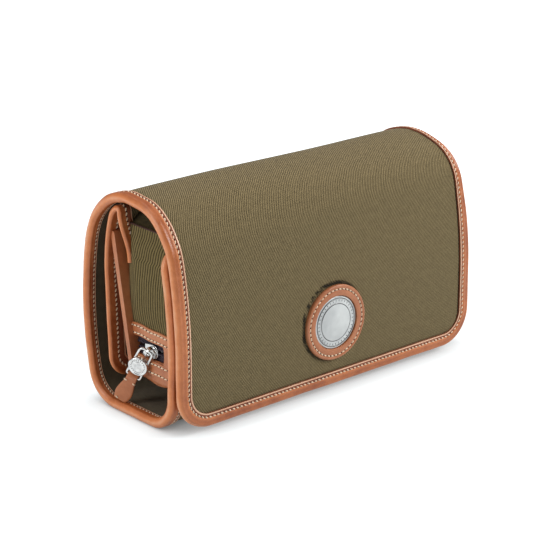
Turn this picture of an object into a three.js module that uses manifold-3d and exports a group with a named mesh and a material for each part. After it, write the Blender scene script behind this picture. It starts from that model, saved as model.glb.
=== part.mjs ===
// Cable organizer pouch: a padded canvas wrap with bound leather edges that folds round
// a zipped pouch and a hanging page, and closes with a front flap.
// Millimetres, +Z up, X along the length, the flap faces -Y, the floor is Z = 0.
import * as THREE from 'three';
import { mergeVertices } from 'three/addons/utils/BufferGeometryUtils.js';
import Module from 'manifold-3d';

const wasm = await Module();
wasm.setup();

// Driving dimensions of the wrap, measured on its outer face
const LENGTH = 240;
const FLAP_FLOOR_GAP = 3.5;
const FLAP_LEAN_RADIUS = 300;
const CREST_FRONT_RADIUS = 31.7;
const CREST_FRONT_TURN = 57;
const CREST_TOP_RADIUS = 151.7;
const CREST_TOP_TURN = 9.2;
const CREST_BACK_RADIUS = 20;
const CREST_BACK_TURN = 39.7;
const SHOULDER_RADIUS = 56.2;
const SHOULDER_TURN = 50.7;
const BACK_RADIUS = 200.2;
const BACK_TURN = 23.5;
const HEEL_RADIUS = 24.1;
const HEEL_TURN = 78;
const TOE_RADIUS = 22;
const FRONT_TIP = 5;
const FRONT_GAP = 2.4;
const FLAP_CORNER_RADIUS = 21;
const FRONT_CORNER_RADIUS = 13;

// Layers of the padded wall
const LEATHER = 1;
const CANVAS = 0.9;
const FOAM = 2;
const LINING = 0.5;
const LAMINATE_GAP = 0.15;
const BINDING_WIDTH = 9;
const BINDING_NOSE_RADIUS = 2.2;
const BINDING_NOSE_WALL = 1.6;
const SEAT_GAP = 0.3;
const FOLD_GAP = 0.2;
const WALL = 2 * LEATHER + CANVAS + FOAM + LINING + 4 * LAMINATE_GAP;

// Fold lines, as the heading of the wrap where it bends
const TOE_FOLD_HEADING = -45;
const TOP_FOLD_HEADING = 135;
const FLAP_FOLD_HEADING = 225;

// Zipped pouch
const POUCH_LENGTH = 221;
const POUCH_FLOOR = 19;
const POUCH_DEPTH = 43;
const POUCH_CORNER_RADIUS = 6;
const POUCH_FABRIC = 1.6;
const POUCH_SHOULDER_HEIGHT = 119;
const POUCH_ROOF_RISE = 7;
const POUCH_ROOF_INSET = 12;
const POUCH_ROOF_DEPTH = 24;

// Zip
const ZIP_HEIGHT = 43.75;
const ZIP_WINDOW = 11.5;
const TRIM_UPPER = 8;
const TRIM_LOWER = 9.5;
const TRIM_END = 5;
const TRIM_END_SETBACK = 8;
const TRIM_LEATHER = 1.2;
const TAPE = 0.6;
const TAPE_LAP = 3;
const TAPE_SHADOW = 0.3;
const TOOTH_PITCH = 4;
const TOOTH_WIDTH = 1.5;
const TOOTH_THICKNESS = 1.8;
const TOOTH_REACH = 0.9;
const TOOTH_SPINE = 1.3;
const SLIT = 1.6;

// Slider, pull and tab
const SLIDER_LENGTH = 11;
const SLIDER_WIDTH = 8.6;
const SLIDER_TAIL_WIDTH = 6.6;
const SLIDER_PLATE = 1.1;
const SLIDER_SETBACK = 2.4;
const SLIDER_FLANGE = 0.8;
const SLIDER_CLEARANCE = 0.35;
const POST_LENGTH = 3.2;
const POST_SETBACK = 0.6;
const POST_THICKNESS = 0.9;
const BRIDGE_HEIGHT = 5.2;
const BRIDGE_LENGTH = 6.4;
const BRIDGE_WIDTH = 2.6;
const BRIDGE_WALL = 1.1;
const PULL_PLAY = 0.5;
const PULL_LENGTH = 24;
const PULL_TOP_WIDTH = 8.5;
const PULL_FOOT_WIDTH = 10.4;
const PULL_WIRE = 1.4;
const PULL_SLOPE = 27;
const PULL_TILT = 4;
const DISC_RADIUS = 6.25;
const DISC_THICKNESS = 1.5;
const DISC_FROM_TOP = 14.5;
const DISC_RIM = 0.9;
const DISC_RECESS = 0.35;
const TAB_LENGTH = 17;
const TAB_NECK_WIDTH = 6.6;
const TAB_BELLY_WIDTH = 10.5;
const TAB_TIP_WIDTH = 7.4;
const TAB_THICKNESS = 2.2;
const TAB_EYE_WALL = 0.9;

// Page that hangs behind the pouch
const PAGE_LENGTH = 236;
const PAGE_HEM_HEIGHT = 17;
const PAGE_STRAIGHT = 87;
const PAGE_LEAN = 2;
const PAGE_CROWN_RADIUS = 32;
const PAGE_CROWN_TURN = 42;
const PAGE_APEX_RADIUS = 5;
const PAGE_APEX_TURN = 134;
const PAGE_ANCHOR_STRAIGHT = 34;
const PAGE_SKIN = 0.9;
const PAGE_CORE = 1.5;
const PAGE_CORNER_RADIUS = 15;
const PAGE_NOSE_RADIUS = 1.3;
const PAGE_NOSE_WALL = 1.2;
const PAGE_WALL = 2 * PAGE_SKIN + PAGE_CORE + 2 * LAMINATE_GAP;

// Slip pocket of leather on the back of the pouch
const POCKET_LENGTH = 232;
const POCKET_FOOT_HEIGHT = 47;
const POCKET_DEPTH = 64;
const POCKET_LEAN = 6;
const POCKET_LEATHER = 1.8;

// Elastic cable loops sewn to the back lining
const LOOP_COUNT = 4;
const LOOP_PITCH = 50;
const LOOP_FOOT = 5;
const LOOP_ARCH_SPAN = 24;
const LOOP_HEIGHT = 8.5;
const LOOP_STRAP = 18;
const LOOP_ELASTIC = 1.2;
const LOOP_SETBACK = 45;

// Badge and closing magnets
const BADGE_HEIGHT = 47;
const BADGE_RADIUS = 24.4;
const BADGE_LEATHER = 2.2;
const BADGE_RECESS = 1.4;
const BADGE_WINDOW_RADIUS = 18;
const BADGE_EDGE = 0.7;
const BADGE_DISC_RADIUS = 17.2;
const BADGE_DISC_THICKNESS = 0.7;
const BADGE_DISC_CROWN = 0.4;
const BADGE_RING_RADIUS = 12;
const BADGE_RING_WIDTH = 0.7;
const BADGE_RING_DEPTH = 0.25;
const MAGNET_RADIUS = 9;
const MAGNET_THICKNESS = 1.4;

// Fineness of the facets
const ARC_STEP = 9;
const LONG_STEP = 14;
const CORNER_STEPS = 6;
const NOSE_STEPS = 3;
const ARCH_STEPS = 10;
const ROUND_SIDES = 36;
const HALVINGS = 40;
const WELD = 0.00001;
const OVERRUN = 20;

const degrees = THREE.MathUtils.degToRad;

// A path of lines and arcs in a plane. Its outer side is on the right of its heading.
class Path {
  constructor(heading, pieces) {
    this.pieces = [];
    this.length = 0;
    let at = new THREE.Vector2();
    let angle = degrees(heading);
    for (const given of pieces) {
      const turn = degrees(given.turn ?? 0);
      const length = given.length ?? given.radius * Math.abs(turn);
      const piece = { ...given, at, angle, length, start: this.length, bend: length ? turn / length : 0 };
      this.pieces.push(piece);
      at = this.walk(piece, length).point;
      angle += turn;
      this.length += length;
    }
  }

  walk(piece, along) {
    const turned = piece.angle + piece.bend * along;
    const point = piece.at.clone();
    if (piece.bend) {
      point.x += (Math.sin(turned) - Math.sin(piece.angle)) / piece.bend;
      point.y += (Math.cos(piece.angle) - Math.cos(turned)) / piece.bend;
    } else {
      point.x += Math.cos(turned) * along;
      point.y += Math.sin(turned) * along;
    }
    return { point, angle: turned };
  }

  // The point at arc length s, moved inwards from the outer face by a depth
  inset(s, depth) {
    const piece = this.pieces.findLast((one) => s >= one.start) ?? this.pieces[0];
    const { point, angle } = this.walk(piece, s - piece.start);
    return new THREE.Vector2(point.x - Math.sin(angle) * depth, point.y + Math.cos(angle) * depth);
  }

  move(shift) {
    for (const piece of this.pieces) piece.at = piece.at.clone().add(shift);
    return this;
  }

  piece(name) {
    return this.pieces.find((one) => one.name === name);
  }

  // The arc length in the named bend where the path has the given heading in degrees
  headingIn(name, heading) {
    const bend = this.piece(name);
    return bend.start + (degrees(heading) - bend.angle) / bend.bend;
  }

  // Arc lengths from one to another, with every joint of the path and fine steps in its bends
  stations(from, to) {
    const marks = [from];
    for (const piece of this.pieces) {
      const low = Math.max(from, piece.start);
      const high = Math.min(to, piece.start + piece.length);
      if (high <= low) continue;
      const turn = THREE.MathUtils.radToDeg(Math.abs(piece.bend)) * (high - low);
      const count = piece.bend ? Math.ceil(Math.max(turn / ARC_STEP, (high - low) / LONG_STEP)) : 1;
      for (let i = 1; i <= count; i++) marks.push(low + ((high - low) * i) / count);
    }
    return marks;
  }
}

// Mesh building

function geometryOf(points, faces) {
  let volume = 0;
  for (const [a, b, c] of faces) volume += points[a].dot(points[b].clone().cross(points[c]));
  const turned = volume < 0 ? faces.map(([a, b, c]) => [a, c, b]) : faces;
  const geometry = new THREE.BufferGeometry();
  geometry.setFromPoints(points);
  geometry.setIndex(turned.flat());
  geometry.computeVertexNormals();
  return geometry;
}

// A closed section, as a list of pairs, carried through a list of stations
function sweep(section, stations, place) {
  const points = stations.flatMap((station) => section.map(([u, d]) => place(station, u, d)));
  const size = section.length;
  const faces = [];
  for (let i = 0; i + 1 < stations.length; i++) {
    for (let j = 0; j < size; j++) {
      const next = (j + 1) % size;
      const [a, b] = [i * size + j, i * size + next];
      faces.push([a, b, b + size], [a, b + size, a + size]);
    }
  }
  const contour = section.map(([u, d]) => new THREE.Vector2(u, d));
  const sign = Math.sign(THREE.ShapeUtils.area(contour));
  const last = (stations.length - 1) * size;
  for (const [a, b, c] of THREE.ShapeUtils.triangulateShape(contour, [])) {
    const same = Math.sign(THREE.ShapeUtils.area([contour[a], contour[b], contour[c]])) === sign;
    const [p, q] = same ? [b, c] : [c, b];
    faces.push([a, q, p], [last + a, last + p, last + q]);
  }
  return geometryOf(points, faces);
}

function manifoldOf(geometry) {
  const plain = geometry.clone();
  plain.deleteAttribute('normal');
  plain.deleteAttribute('uv');
  const merged = mergeVertices(plain, WELD);
  const vertProperties = new Float32Array(merged.attributes.position.array);
  const corners = Array.from(merged.index.array);
  const whole = corners.map((_, i) => corners.slice(i - (i % 3), i - (i % 3) + 3));
  const triVerts = new Uint32Array(corners.filter((_, i) => new Set(whole[i]).size === 3));
  return new wasm.Manifold(new wasm.Mesh({ numProp: 3, vertProperties, triVerts }));
}

function geometryFrom(solid) {
  const mesh = solid.getMesh();
  const geometry = new THREE.BufferGeometry();
  geometry.setAttribute('position', new THREE.BufferAttribute(new Float32Array(mesh.vertProperties), 3));
  geometry.setIndex(new THREE.BufferAttribute(new Uint32Array(mesh.triVerts), 1));
  geometry.computeVertexNormals();
  return geometry;
}

function boxBetween(low, high) {
  const size = new THREE.Vector3().subVectors(high, low);
  const centre = new THREE.Vector3().addVectors(low, high).multiplyScalar(1 / 2);
  return new THREE.BoxGeometry(size.x, size.y, size.z).translate(centre.x, centre.y, centre.z);
}

// A shape drawn in (Y, Z) and given a thickness from one X to another
function plateAcrossX(shape, fromX, toX) {
  const settings = { depth: toX - fromX, bevelEnabled: false, curveSegments: ARCH_STEPS };
  const plate = new THREE.ExtrudeGeometry(shape, settings);
  const turn = new THREE.Matrix4().makeBasis(
    new THREE.Vector3(0, 1, 0), new THREE.Vector3(0, 0, 1), new THREE.Vector3(1, 0, 0));
  return plate.applyMatrix4(turn).translate(fromX, 0, 0);
}

// A turned piece on an axis along Y. The profile is a list of [radius, height towards -Y].
function turned(profile, sides) {
  const points = profile.map(([radius, height]) => new THREE.Vector2(radius, height));
  return new THREE.LatheGeometry(points, sides).rotateX(Math.PI);
}

const parts = new THREE.Group();

function add(name, geometry, colour, roughness, metalness = 0) {
  const material = new THREE.MeshStandardMaterial({ color: colour, roughness, metalness });
  const mesh = new THREE.Mesh(geometry, material);
  mesh.name = name;
  parts.add(mesh);
  return mesh;
}

const TAN = 0xb5652f;
const OLIVE = 0x6b6142;
const DARK_OLIVE = 0x33351f;
const FOAM_GREY = 0x8d8d88;
const NICKEL = 0xc9c9c9;
const PLUM = 0x2c2430;
const BLACK = 0x1c1c1c;

const leather = (name, geometry) => add(name, geometry, TAN, 0.45);
const canvas = (name, geometry) => add(name, geometry, OLIVE, 0.9);
const lining = (name, geometry) => add(name, geometry, DARK_OLIVE, 0.95);
const foam = (name, geometry) => add(name, geometry, FOAM_GREY, 1);
const metal = (name, geometry) => add(name, geometry, NICKEL, 0.25, 1);

// The wrap runs from the front panel's top edge down, under, up the back, over and down the flap
const FLAP_LEAN_TURN = 270 - CREST_FRONT_TURN - CREST_TOP_TURN - CREST_BACK_TURN
  - SHOULDER_TURN - BACK_TURN - HEEL_TURN;
const NESTING = WALL + FRONT_GAP;

function wrapPath(frontStraight, bottomFlat, flapStraight) {
  return new Path(-90 - FLAP_LEAN_TURN, [
    { name: 'front_tip', length: FRONT_TIP },
    { name: 'front_lean', radius: FLAP_LEAN_RADIUS - NESTING, turn: FLAP_LEAN_TURN },
    { name: 'front_wall', length: frontStraight },
    { name: 'toe', radius: TOE_RADIUS, turn: 90 },
    { name: 'bottom', length: bottomFlat },
    { name: 'heel', radius: HEEL_RADIUS, turn: HEEL_TURN },
    { name: 'back', radius: BACK_RADIUS, turn: BACK_TURN },
    { name: 'shoulder', radius: SHOULDER_RADIUS, turn: SHOULDER_TURN },
    { name: 'crest_back', radius: CREST_BACK_RADIUS, turn: CREST_BACK_TURN },
    { name: 'crest_top', radius: CREST_TOP_RADIUS, turn: CREST_TOP_TURN },
    { name: 'crest_front', radius: CREST_FRONT_RADIUS, turn: CREST_FRONT_TURN },
    { name: 'flap_lean', radius: FLAP_LEAN_RADIUS, turn: FLAP_LEAN_TURN },
    { name: 'flap_wall', length: flapStraight },
  ]);
}

// The straight lengths follow from the bends: the flap nests over the front panel
const bare = wrapPath(0, 0, 0);
const bareToe = bare.piece('toe').at;
const bareFloor = bare.piece('bottom').at.y;
const bareFlap = bare.piece('flap_wall').at;
const LEAN_HEIGHT = bareFlap.y - bareFloor;
const FRONT_STRAIGHT = LEAN_HEIGHT - TOE_RADIUS;
const BOTTOM_FLAT = bareToe.x - NESTING - bareFlap.x;
const FLAP_STRAIGHT = LEAN_HEIGHT - FLAP_FLOOR_GAP;
const wrap = wrapPath(FRONT_STRAIGHT, BOTTOM_FLAT, FLAP_STRAIGHT);

// The badge stands proud of the flap's binding, and the whole is centred over the origin
const BADGE_SEAT = LEATHER + LAMINATE_GAP;
const BADGE_PROUD = BADGE_LEATHER + SEAT_GAP - BADGE_SEAT;
const backMost = wrap.inset(wrap.headingIn('back', 90), 0).x;
const frontMost = wrap.piece('flap_wall').at.x - BADGE_PROUD;
wrap.move(new THREE.Vector2(-(backMost + frontMost) / 2, -wrap.piece('bottom').at.y));

const S_END = wrap.length;
const S_TOE_FOLD = wrap.headingIn('toe', TOE_FOLD_HEADING);
const S_TOP_FOLD = wrap.headingIn('shoulder', TOP_FOLD_HEADING);
const S_FLAP_FOLD = wrap.headingIn('crest_front', FLAP_FOLD_HEADING);

const onWrap = (x, s, depth) => {
  const point = wrap.inset(s, depth);
  return new THREE.Vector3(x, point.x, point.y);
};

// A bound wall: its edge lines in the developed plane of a path, with rounded corners at one end
class BoundWall {
  constructor({ place, path, half, from, to, corner, cornerEnd, layers, skin, nose, noseWall }) {
    Object.assign(this, { place, path, half, from, to, corner, cornerEnd, layers, skin, nose, noseWall });
    this.wall = 2 * skin + layers.reduce((sum, layer) => sum + layer, 0) + (layers.length + 1) * LAMINATE_GAP;
  }

  // Half the length of the wall at s, inside a margin from its edge
  halfAt(s, margin) {
    if (!this.cornerEnd) return this.half - margin;
    const radius = this.corner - margin;
    const end = this.cornerEnd === 'to' ? this.to - margin - s : s - this.from - margin;
    const inside = THREE.MathUtils.clamp(radius - end, 0, radius);
    return this.half - margin - radius + Math.sqrt(radius * radius - inside * inside);
  }

  sheetStations(margin) {
    if (!this.cornerEnd) return this.path.stations(this.from, this.to);
    const radius = this.corner - margin;
    const arc = Array.from({ length: CORNER_STEPS }, (_, i) => {
      return radius * (1 - Math.cos((Math.PI / 2) * (i / CORNER_STEPS)));
    });
    if (this.cornerEnd === 'to') {
      const end = this.to - margin;
      return [...this.path.stations(this.from, end - radius), ...arc.reverse().map((step) => end - step)];
    }
    const start = this.from + margin;
    return [...arc.map((step) => start + step), ...this.path.stations(start + radius, this.to)];
  }

  // One layer of the wall, counted from the outer face
  layer(index) {
    const margin = this.noseWall + SEAT_GAP;
    const above = this.layers.slice(0, index).reduce((sum, layer) => sum + layer + LAMINATE_GAP, 0);
    const top = this.skin + LAMINATE_GAP + above;
    const section = [[-1, top], [1, top], [1, top + this.layers[index]], [-1, top + this.layers[index]]];
    return sweep(section, this.sheetStations(margin), (s, side, depth) => {
      return this.place(side * this.halfAt(s, margin), s, depth);
    });
  }

  // The leather binding's section: two lips joined by a rounded nose
  bindingSection() {
    const { skin, wall, nose } = this;
    const section = [[BINDING_WIDTH, 0]];
    for (const [centre, start] of [[nose, 0], [wall - nose, 1]]) {
      for (let i = 0; i <= NOSE_STEPS; i++) {
        const angle = (Math.PI / 2) * (start + i / NOSE_STEPS);
        section.push([nose - nose * Math.sin(angle), centre - nose * Math.cos(angle)]);
      }
    }
    section.push([BINDING_WIDTH, wall], [BINDING_WIDTH, wall - skin], [this.noseWall, wall - skin]);
    section.push([this.noseWall, skin], [BINDING_WIDTH, skin]);
    return section;
  }

  // Points of the edge with their inward direction, along one side
  sideStations(side) {
    const run = { x: side * this.half, ix: -side, is: 0 };
    if (!this.cornerEnd) return this.path.stations(this.from, this.to).map((s) => ({ ...run, s }));
    const [low, high] = this.cornerEnd === 'to'
      ? [this.from, this.to - this.corner] : [this.from + this.corner, this.to];
    return this.path.stations(low, high).map((s) => ({ ...run, s }));
  }

  cornerStations(side) {
    const towards = this.cornerEnd === 'to' ? 1 : -1;
    const end = this.cornerEnd === 'to' ? this.to : this.from;
    return Array.from({ length: CORNER_STEPS }, (_, i) => {
      const angle = (Math.PI / 2) * ((i + 1) / CORNER_STEPS);
      const [ix, is] = [-side * Math.cos(angle), -towards * Math.sin(angle)];
      const x = side * (this.half - this.corner) - ix * this.corner;
      return { x, s: end - towards * this.corner - is * this.corner, ix, is };
    });
  }

  binding(side) {
    const stations = this.sideStations(side);
    return sweep(this.bindingSection(), stations, (at, u, depth) => {
      return this.place(at.x + at.ix * u, at.s + at.is * u, depth);
    });
  }

  // The binding round both sides and the rounded end, in one length
  bindingRound() {
    const left = [...this.sideStations(-1)];
    const right = [...this.sideStations(1)];
    if (this.cornerEnd === 'from') {
      left.reverse();
      right.reverse();
    }
    left.push(...this.cornerStations(-1));
    right.push(...this.cornerStations(1));
    const stations = [...left, ...right.reverse()];
    return sweep(this.bindingSection(), stations, (at, u, depth) => {
      return this.place(at.x + at.ix * u, at.s + at.is * u, depth);
    });
  }
}

const padded = {
  place: onWrap,
  path: wrap,
  half: LENGTH / 2,
  layers: [CANVAS, FOAM, LINING],
  skin: LEATHER,
  nose: BINDING_NOSE_RADIUS,
  noseWall: BINDING_NOSE_WALL,
};
const frontWall = new BoundWall({
  ...padded, from: 0, to: S_TOE_FOLD - FOLD_GAP, corner: FRONT_CORNER_RADIUS, cornerEnd: 'from' });
const shellWall = new BoundWall({ ...padded, from: S_TOE_FOLD + FOLD_GAP, to: S_TOP_FOLD - FOLD_GAP });
const topWall = new BoundWall({ ...padded, from: S_TOP_FOLD + FOLD_GAP, to: S_FLAP_FOLD - FOLD_GAP });
const flapWall = new BoundWall({
  ...padded, from: S_FLAP_FOLD + FOLD_GAP, to: S_END, corner: FLAP_CORNER_RADIUS, cornerEnd: 'to' });

// Depths of the faces inside the wall
const FOAM_TOP = LEATHER + CANVAS + 2 * LAMINATE_GAP;
const LINING_FACE = WALL - LEATHER - LAMINATE_GAP;

// Closing magnets lie in the foam behind the badge
const badgeCentre = new THREE.Vector3(0, wrap.piece('flap_wall').at.x, BADGE_HEIGHT);
const frontFaceY = wrap.piece('front_wall').at.x;

function magnetAt(outerY) {
  const magnetCentre = outerY + FOAM_TOP + FOAM / 2;
  const disc = new THREE.CylinderGeometry(MAGNET_RADIUS, MAGNET_RADIUS, MAGNET_THICKNESS, ROUND_SIDES);
  return disc.translate(0, magnetCentre, BADGE_HEIGHT);
}

function foamWithMagnetHole(geometry, outerY) {
  const radius = MAGNET_RADIUS + SEAT_GAP;
  const hole = new THREE.CylinderGeometry(radius, radius, OVERRUN, ROUND_SIDES);
  hole.translate(0, outerY, BADGE_HEIGHT);
  return geometryFrom(manifoldOf(geometry).subtract(manifoldOf(hole)));
}

// Shell: bottom and back
canvas('shell_canvas', shellWall.layer(0));
foam('shell_foam', shellWall.layer(1));
lining('shell_lining', shellWall.layer(2));
leather('shell_binding_left', shellWall.binding(-1));
leather('shell_binding_right', shellWall.binding(1));

// Top: the panel between the two folds of the lid
canvas('top_canvas', topWall.layer(0));
foam('top_foam', topWall.layer(1));
lining('top_lining', topWall.layer(2));
leather('top_binding_left', topWall.binding(-1));
leather('top_binding_right', topWall.binding(1));

// Flap
canvas('flap_canvas', flapWall.layer(0));
foam('flap_foam', foamWithMagnetHole(flapWall.layer(1), badgeCentre.y));
lining('flap_lining', flapWall.layer(2));
leather('flap_binding', flapWall.bindingRound());
add('flap_magnet', magnetAt(badgeCentre.y), BLACK, 0.4, 1);

// Front panel under the flap
canvas('front_canvas', frontWall.layer(0));
foam('front_foam', foamWithMagnetHole(frontWall.layer(1), frontFaceY));
lining('front_lining', frontWall.layer(2));
leather('front_binding', frontWall.bindingRound());
add('front_magnet', magnetAt(frontFaceY), BLACK, 0.4, 1);

// Badge: a turned leather washer with a window that the disc sits in
function buildBadge() {
  const seat = badgeCentre.y + BADGE_SEAT - SEAT_GAP;
  const washer = turned([
    [0, 0], [BADGE_RADIUS, 0], [BADGE_RADIUS, BADGE_LEATHER - BADGE_EDGE],
    [BADGE_RADIUS - BADGE_EDGE, BADGE_LEATHER], [BADGE_WINDOW_RADIUS, BADGE_LEATHER],
    [BADGE_WINDOW_RADIUS, BADGE_LEATHER - BADGE_RECESS], [0, BADGE_LEATHER - BADGE_RECESS],
  ], ROUND_SIDES);
  const crown = BADGE_DISC_THICKNESS + BADGE_DISC_CROWN;
  const step = BADGE_RING_WIDTH;
  const share = (BADGE_RING_RADIUS / BADGE_DISC_RADIUS) ** 2;
  const ringTop = crown - BADGE_DISC_CROWN * share;
  const disc = turned([
    [0, 0], [BADGE_DISC_RADIUS, 0], [BADGE_DISC_RADIUS, BADGE_DISC_THICKNESS - BADGE_RING_DEPTH],
    [BADGE_DISC_RADIUS - step, BADGE_DISC_THICKNESS], [BADGE_RING_RADIUS + step, ringTop],
    [BADGE_RING_RADIUS, ringTop - BADGE_RING_DEPTH], [BADGE_RING_RADIUS - step, ringTop], [0, crown],
  ], ROUND_SIDES);
  leather('badge_leather', washer.translate(0, seat, badgeCentre.z));
  const discSeat = seat - (BADGE_LEATHER - BADGE_RECESS) - SEAT_GAP;
  metal('badge_disc', disc.translate(0, discSeat, badgeCentre.z));
}
buildBadge();

// Elastic loops on the back lining, arches open along the height of the wall
function buildLoops() {
  const centre = wrap.piece('back').start + LOOP_SETBACK;
  const rise = LOOP_HEIGHT - LOOP_ELASTIC;
  const reach = LOOP_ARCH_SPAN / 2;
  const arch = (scale, extra) => Array.from({ length: ARCH_STEPS + 1 }, (_, i) => {
    const angle = Math.PI * (1 - i / ARCH_STEPS);
    return [(reach + extra) * Math.cos(angle), LOOP_ELASTIC * (1 - scale) + (rise + extra) * Math.sin(angle)];
  });
  const outer = arch(0, 0);
  const inner = arch(1, -LOOP_ELASTIC).reverse();
  const foot = reach + LOOP_FOOT;
  const section = [
    [-foot, 0], [-foot, LOOP_ELASTIC], ...outer, [foot, LOOP_ELASTIC], [foot, 0], ...inner];
  for (let i = 0; i < LOOP_COUNT; i++) {
    const x = (i - (LOOP_COUNT - 1) / 2) * LOOP_PITCH;
    const stations = wrap.stations(centre - LOOP_STRAP / 2, centre + LOOP_STRAP / 2);
    const seat = LINING_FACE + SEAT_GAP;
    const loop = sweep(section, stations, (s, u, height) => onWrap(x + u, s, seat + height));
    add(`cable_loop_${i + 1}`, loop, BLACK, 0.9);
  }
}
buildLoops();

// Pouch: a soft box that is open towards the front panel, in two parts with the zip between
const pouchFrontY = frontFaceY + LINING_FACE + SEAT_GAP;
const pouchBackY = pouchFrontY + POUCH_DEPTH;

// The Y of the front panel at a height and a depth
function frontPanelY(height, depth) {
  let [low, high] = [0, wrap.piece('toe').start];
  for (let i = 0; i < HALVINGS; i++) {
    const middle = (low + high) / 2;
    if (wrap.inset(middle, depth).y > height) low = middle;
    else high = middle;
  }
  return wrap.inset(low, depth).x;
}

function pouchRing(half, frontY, backY, radius, height) {
  const ring = [[-half, frontY]];
  for (const side of [-1, 1]) {
    for (let i = 0; i <= CORNER_STEPS; i++) {
      const angle = (Math.PI / 2) * (i / CORNER_STEPS);
      const turn = side < 0 ? angle : Math.PI / 2 - angle;
      ring.push([side * (half - radius + radius * Math.cos(turn)), backY - radius + radius * Math.sin(turn)]);
    }
  }
  ring.push([half, frontY]);
  return ring.map(([x, y]) => new THREE.Vector3(x, y, height));
}

function loft(rings) {
  const size = rings[0].length;
  const index = Array.from({ length: size }, (_, i) => i);
  const section = index.map((i) => [rings[0][i].x, rings[0][i].y]);
  let next = 0;
  return sweep(section, rings, (ring) => ring[next++ % size]);
}

// The pouch's solid form, drawn in by a margin on its sides, back, floor and roof. Its front
// follows the lining up to the lip of the binding, and then the lip.
function pouchForm(margin) {
  const half = POUCH_LENGTH / 2 - margin;
  const backY = pouchBackY - margin;
  const radius = POUCH_CORNER_RADIUS - margin;
  const cutThrough = margin ? OVERRUN : 0;
  const lipHeight = wrap.inset(BINDING_WIDTH + SEAT_GAP, LINING_FACE).y;
  const leanHeights = Array.from({ length: CORNER_STEPS }, (_, i) => {
    return LEAN_HEIGHT + (lipHeight - LEAN_HEIGHT) * (i / CORNER_STEPS);
  });
  const levels = [POUCH_FLOOR + margin, ...leanHeights].map((height) => [height, LINING_FACE]);
  levels.push([lipHeight, WALL], [wrap.inset(0, WALL).y, WALL]);
  const rings = levels.map(([height, depth]) => {
    return pouchRing(half, frontPanelY(height, depth) + SEAT_GAP - cutThrough, backY, radius, height);
  });
  const roofFront = pouchBackY - POUCH_ROOF_DEPTH;
  const shoulderFront = roofFront - POUCH_ROOF_RISE + margin;
  rings.push(pouchRing(half, shoulderFront, backY, radius, POUCH_SHOULDER_HEIGHT - margin));
  const roofTop = POUCH_SHOULDER_HEIGHT + POUCH_ROOF_RISE - margin;
  rings.push(pouchRing(half - POUCH_ROOF_INSET, roofFront + margin, backY, radius, roofTop));
  return loft(rings);
}

const windowTop = ZIP_HEIGHT + ZIP_WINDOW / 2;
const windowFoot = ZIP_HEIGHT - ZIP_WINDOW / 2;

function pouchBetween(low, high) {
  const reach = LENGTH;
  const band = boxBetween(new THREE.Vector3(-reach, -reach, low), new THREE.Vector3(reach, reach, high));
  const shell = manifoldOf(pouchForm(0)).subtract(manifoldOf(pouchForm(POUCH_FABRIC)));
  return geometryFrom(shell.intersect(manifoldOf(band)));
}
canvas('pouch_upper', pouchBetween(windowTop, POUCH_SHOULDER_HEIGHT + POUCH_ROOF_RISE + OVERRUN));
leather('pouch_lower', pouchBetween(POUCH_FLOOR - OVERRUN, windowFoot));

// The pouch's outline from above: up the right end, along the back and down the left end
const pouchPlan = new Path(90, [
  { name: 'right', length: POUCH_DEPTH - POUCH_CORNER_RADIUS },
  { name: 'right_corner', radius: POUCH_CORNER_RADIUS, turn: 90 },
  { name: 'rear', length: POUCH_LENGTH - 2 * POUCH_CORNER_RADIUS },
  { name: 'left_corner', radius: POUCH_CORNER_RADIUS, turn: 90 },
  { name: 'left', length: POUCH_DEPTH - POUCH_CORNER_RADIUS },
]).move(new THREE.Vector2(POUCH_LENGTH / 2, pouchFrontY));

const onPlan = (s, depth, height) => {
  const point = pouchPlan.inset(s, depth);
  return new THREE.Vector3(point.x, point.y, height);
};

function bandRound(from, to, outer, inner, low, high) {
  const section = [[outer, low], [inner, low], [inner, high], [outer, high]];
  return sweep(section, pouchPlan.stations(from, to), onPlan);
}

// The trims start behind the lip of the front panel's binding
const trimOuter = -SEAT_GAP - TRIM_LEATHER;
const trimStart = WALL - LINING_FACE;

function trim(low, high) {
  return bandRound(trimStart, pouchPlan.length - trimStart, trimOuter, -SEAT_GAP, low, high);
}
leather('zip_trim_upper', trim(windowTop, windowTop + TRIM_UPPER));
leather('zip_trim_lower', trim(windowFoot - TRIM_LOWER, windowFoot));

function trimEnd(side) {
  const half = POUCH_LENGTH / 2;
  const inner = side * (half + SEAT_GAP);
  const outer = side * (half - trimOuter);
  const front = pouchFrontY + TRIM_END_SETBACK;
  const low = new THREE.Vector3(Math.min(inner, outer), front, windowFoot + SEAT_GAP);
  const high = new THREE.Vector3(Math.max(inner, outer), front + TRIM_END, windowTop - SEAT_GAP);
  return boxBetween(low, high);
}
leather('zip_trim_end_left', trimEnd(-1));
leather('zip_trim_end_right', trimEnd(1));

// Zip: tapes behind the window and two rows of teeth that mesh, with a slit where the slider rides
const zipStart = TRIM_END_SETBACK;
const zipEnd = pouchPlan.length - TRIM_END_SETBACK;
const tapeDepth = POUCH_FABRIC + TAPE_SHADOW;
const chainDepth = tapeDepth + TAPE / 2;
const TOOTH_ROOT = TOOTH_REACH + SEAT_GAP;
const rowTop = TOOTH_ROOT + TOOTH_SPINE;

function tape(side) {
  const inner = ZIP_HEIGHT + side * (rowTop + SEAT_GAP);
  const outer = ZIP_HEIGHT + side * (ZIP_WINDOW / 2 + TAPE_LAP);
  const heights = [inner, outer].sort((a, b) => a - b);
  return bandRound(zipStart, zipEnd, tapeDepth, tapeDepth + TAPE, ...heights);
}
add('zip_tape_upper', tape(1), PLUM, 0.9);
add('zip_tape_lower', tape(-1), PLUM, 0.9);

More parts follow.
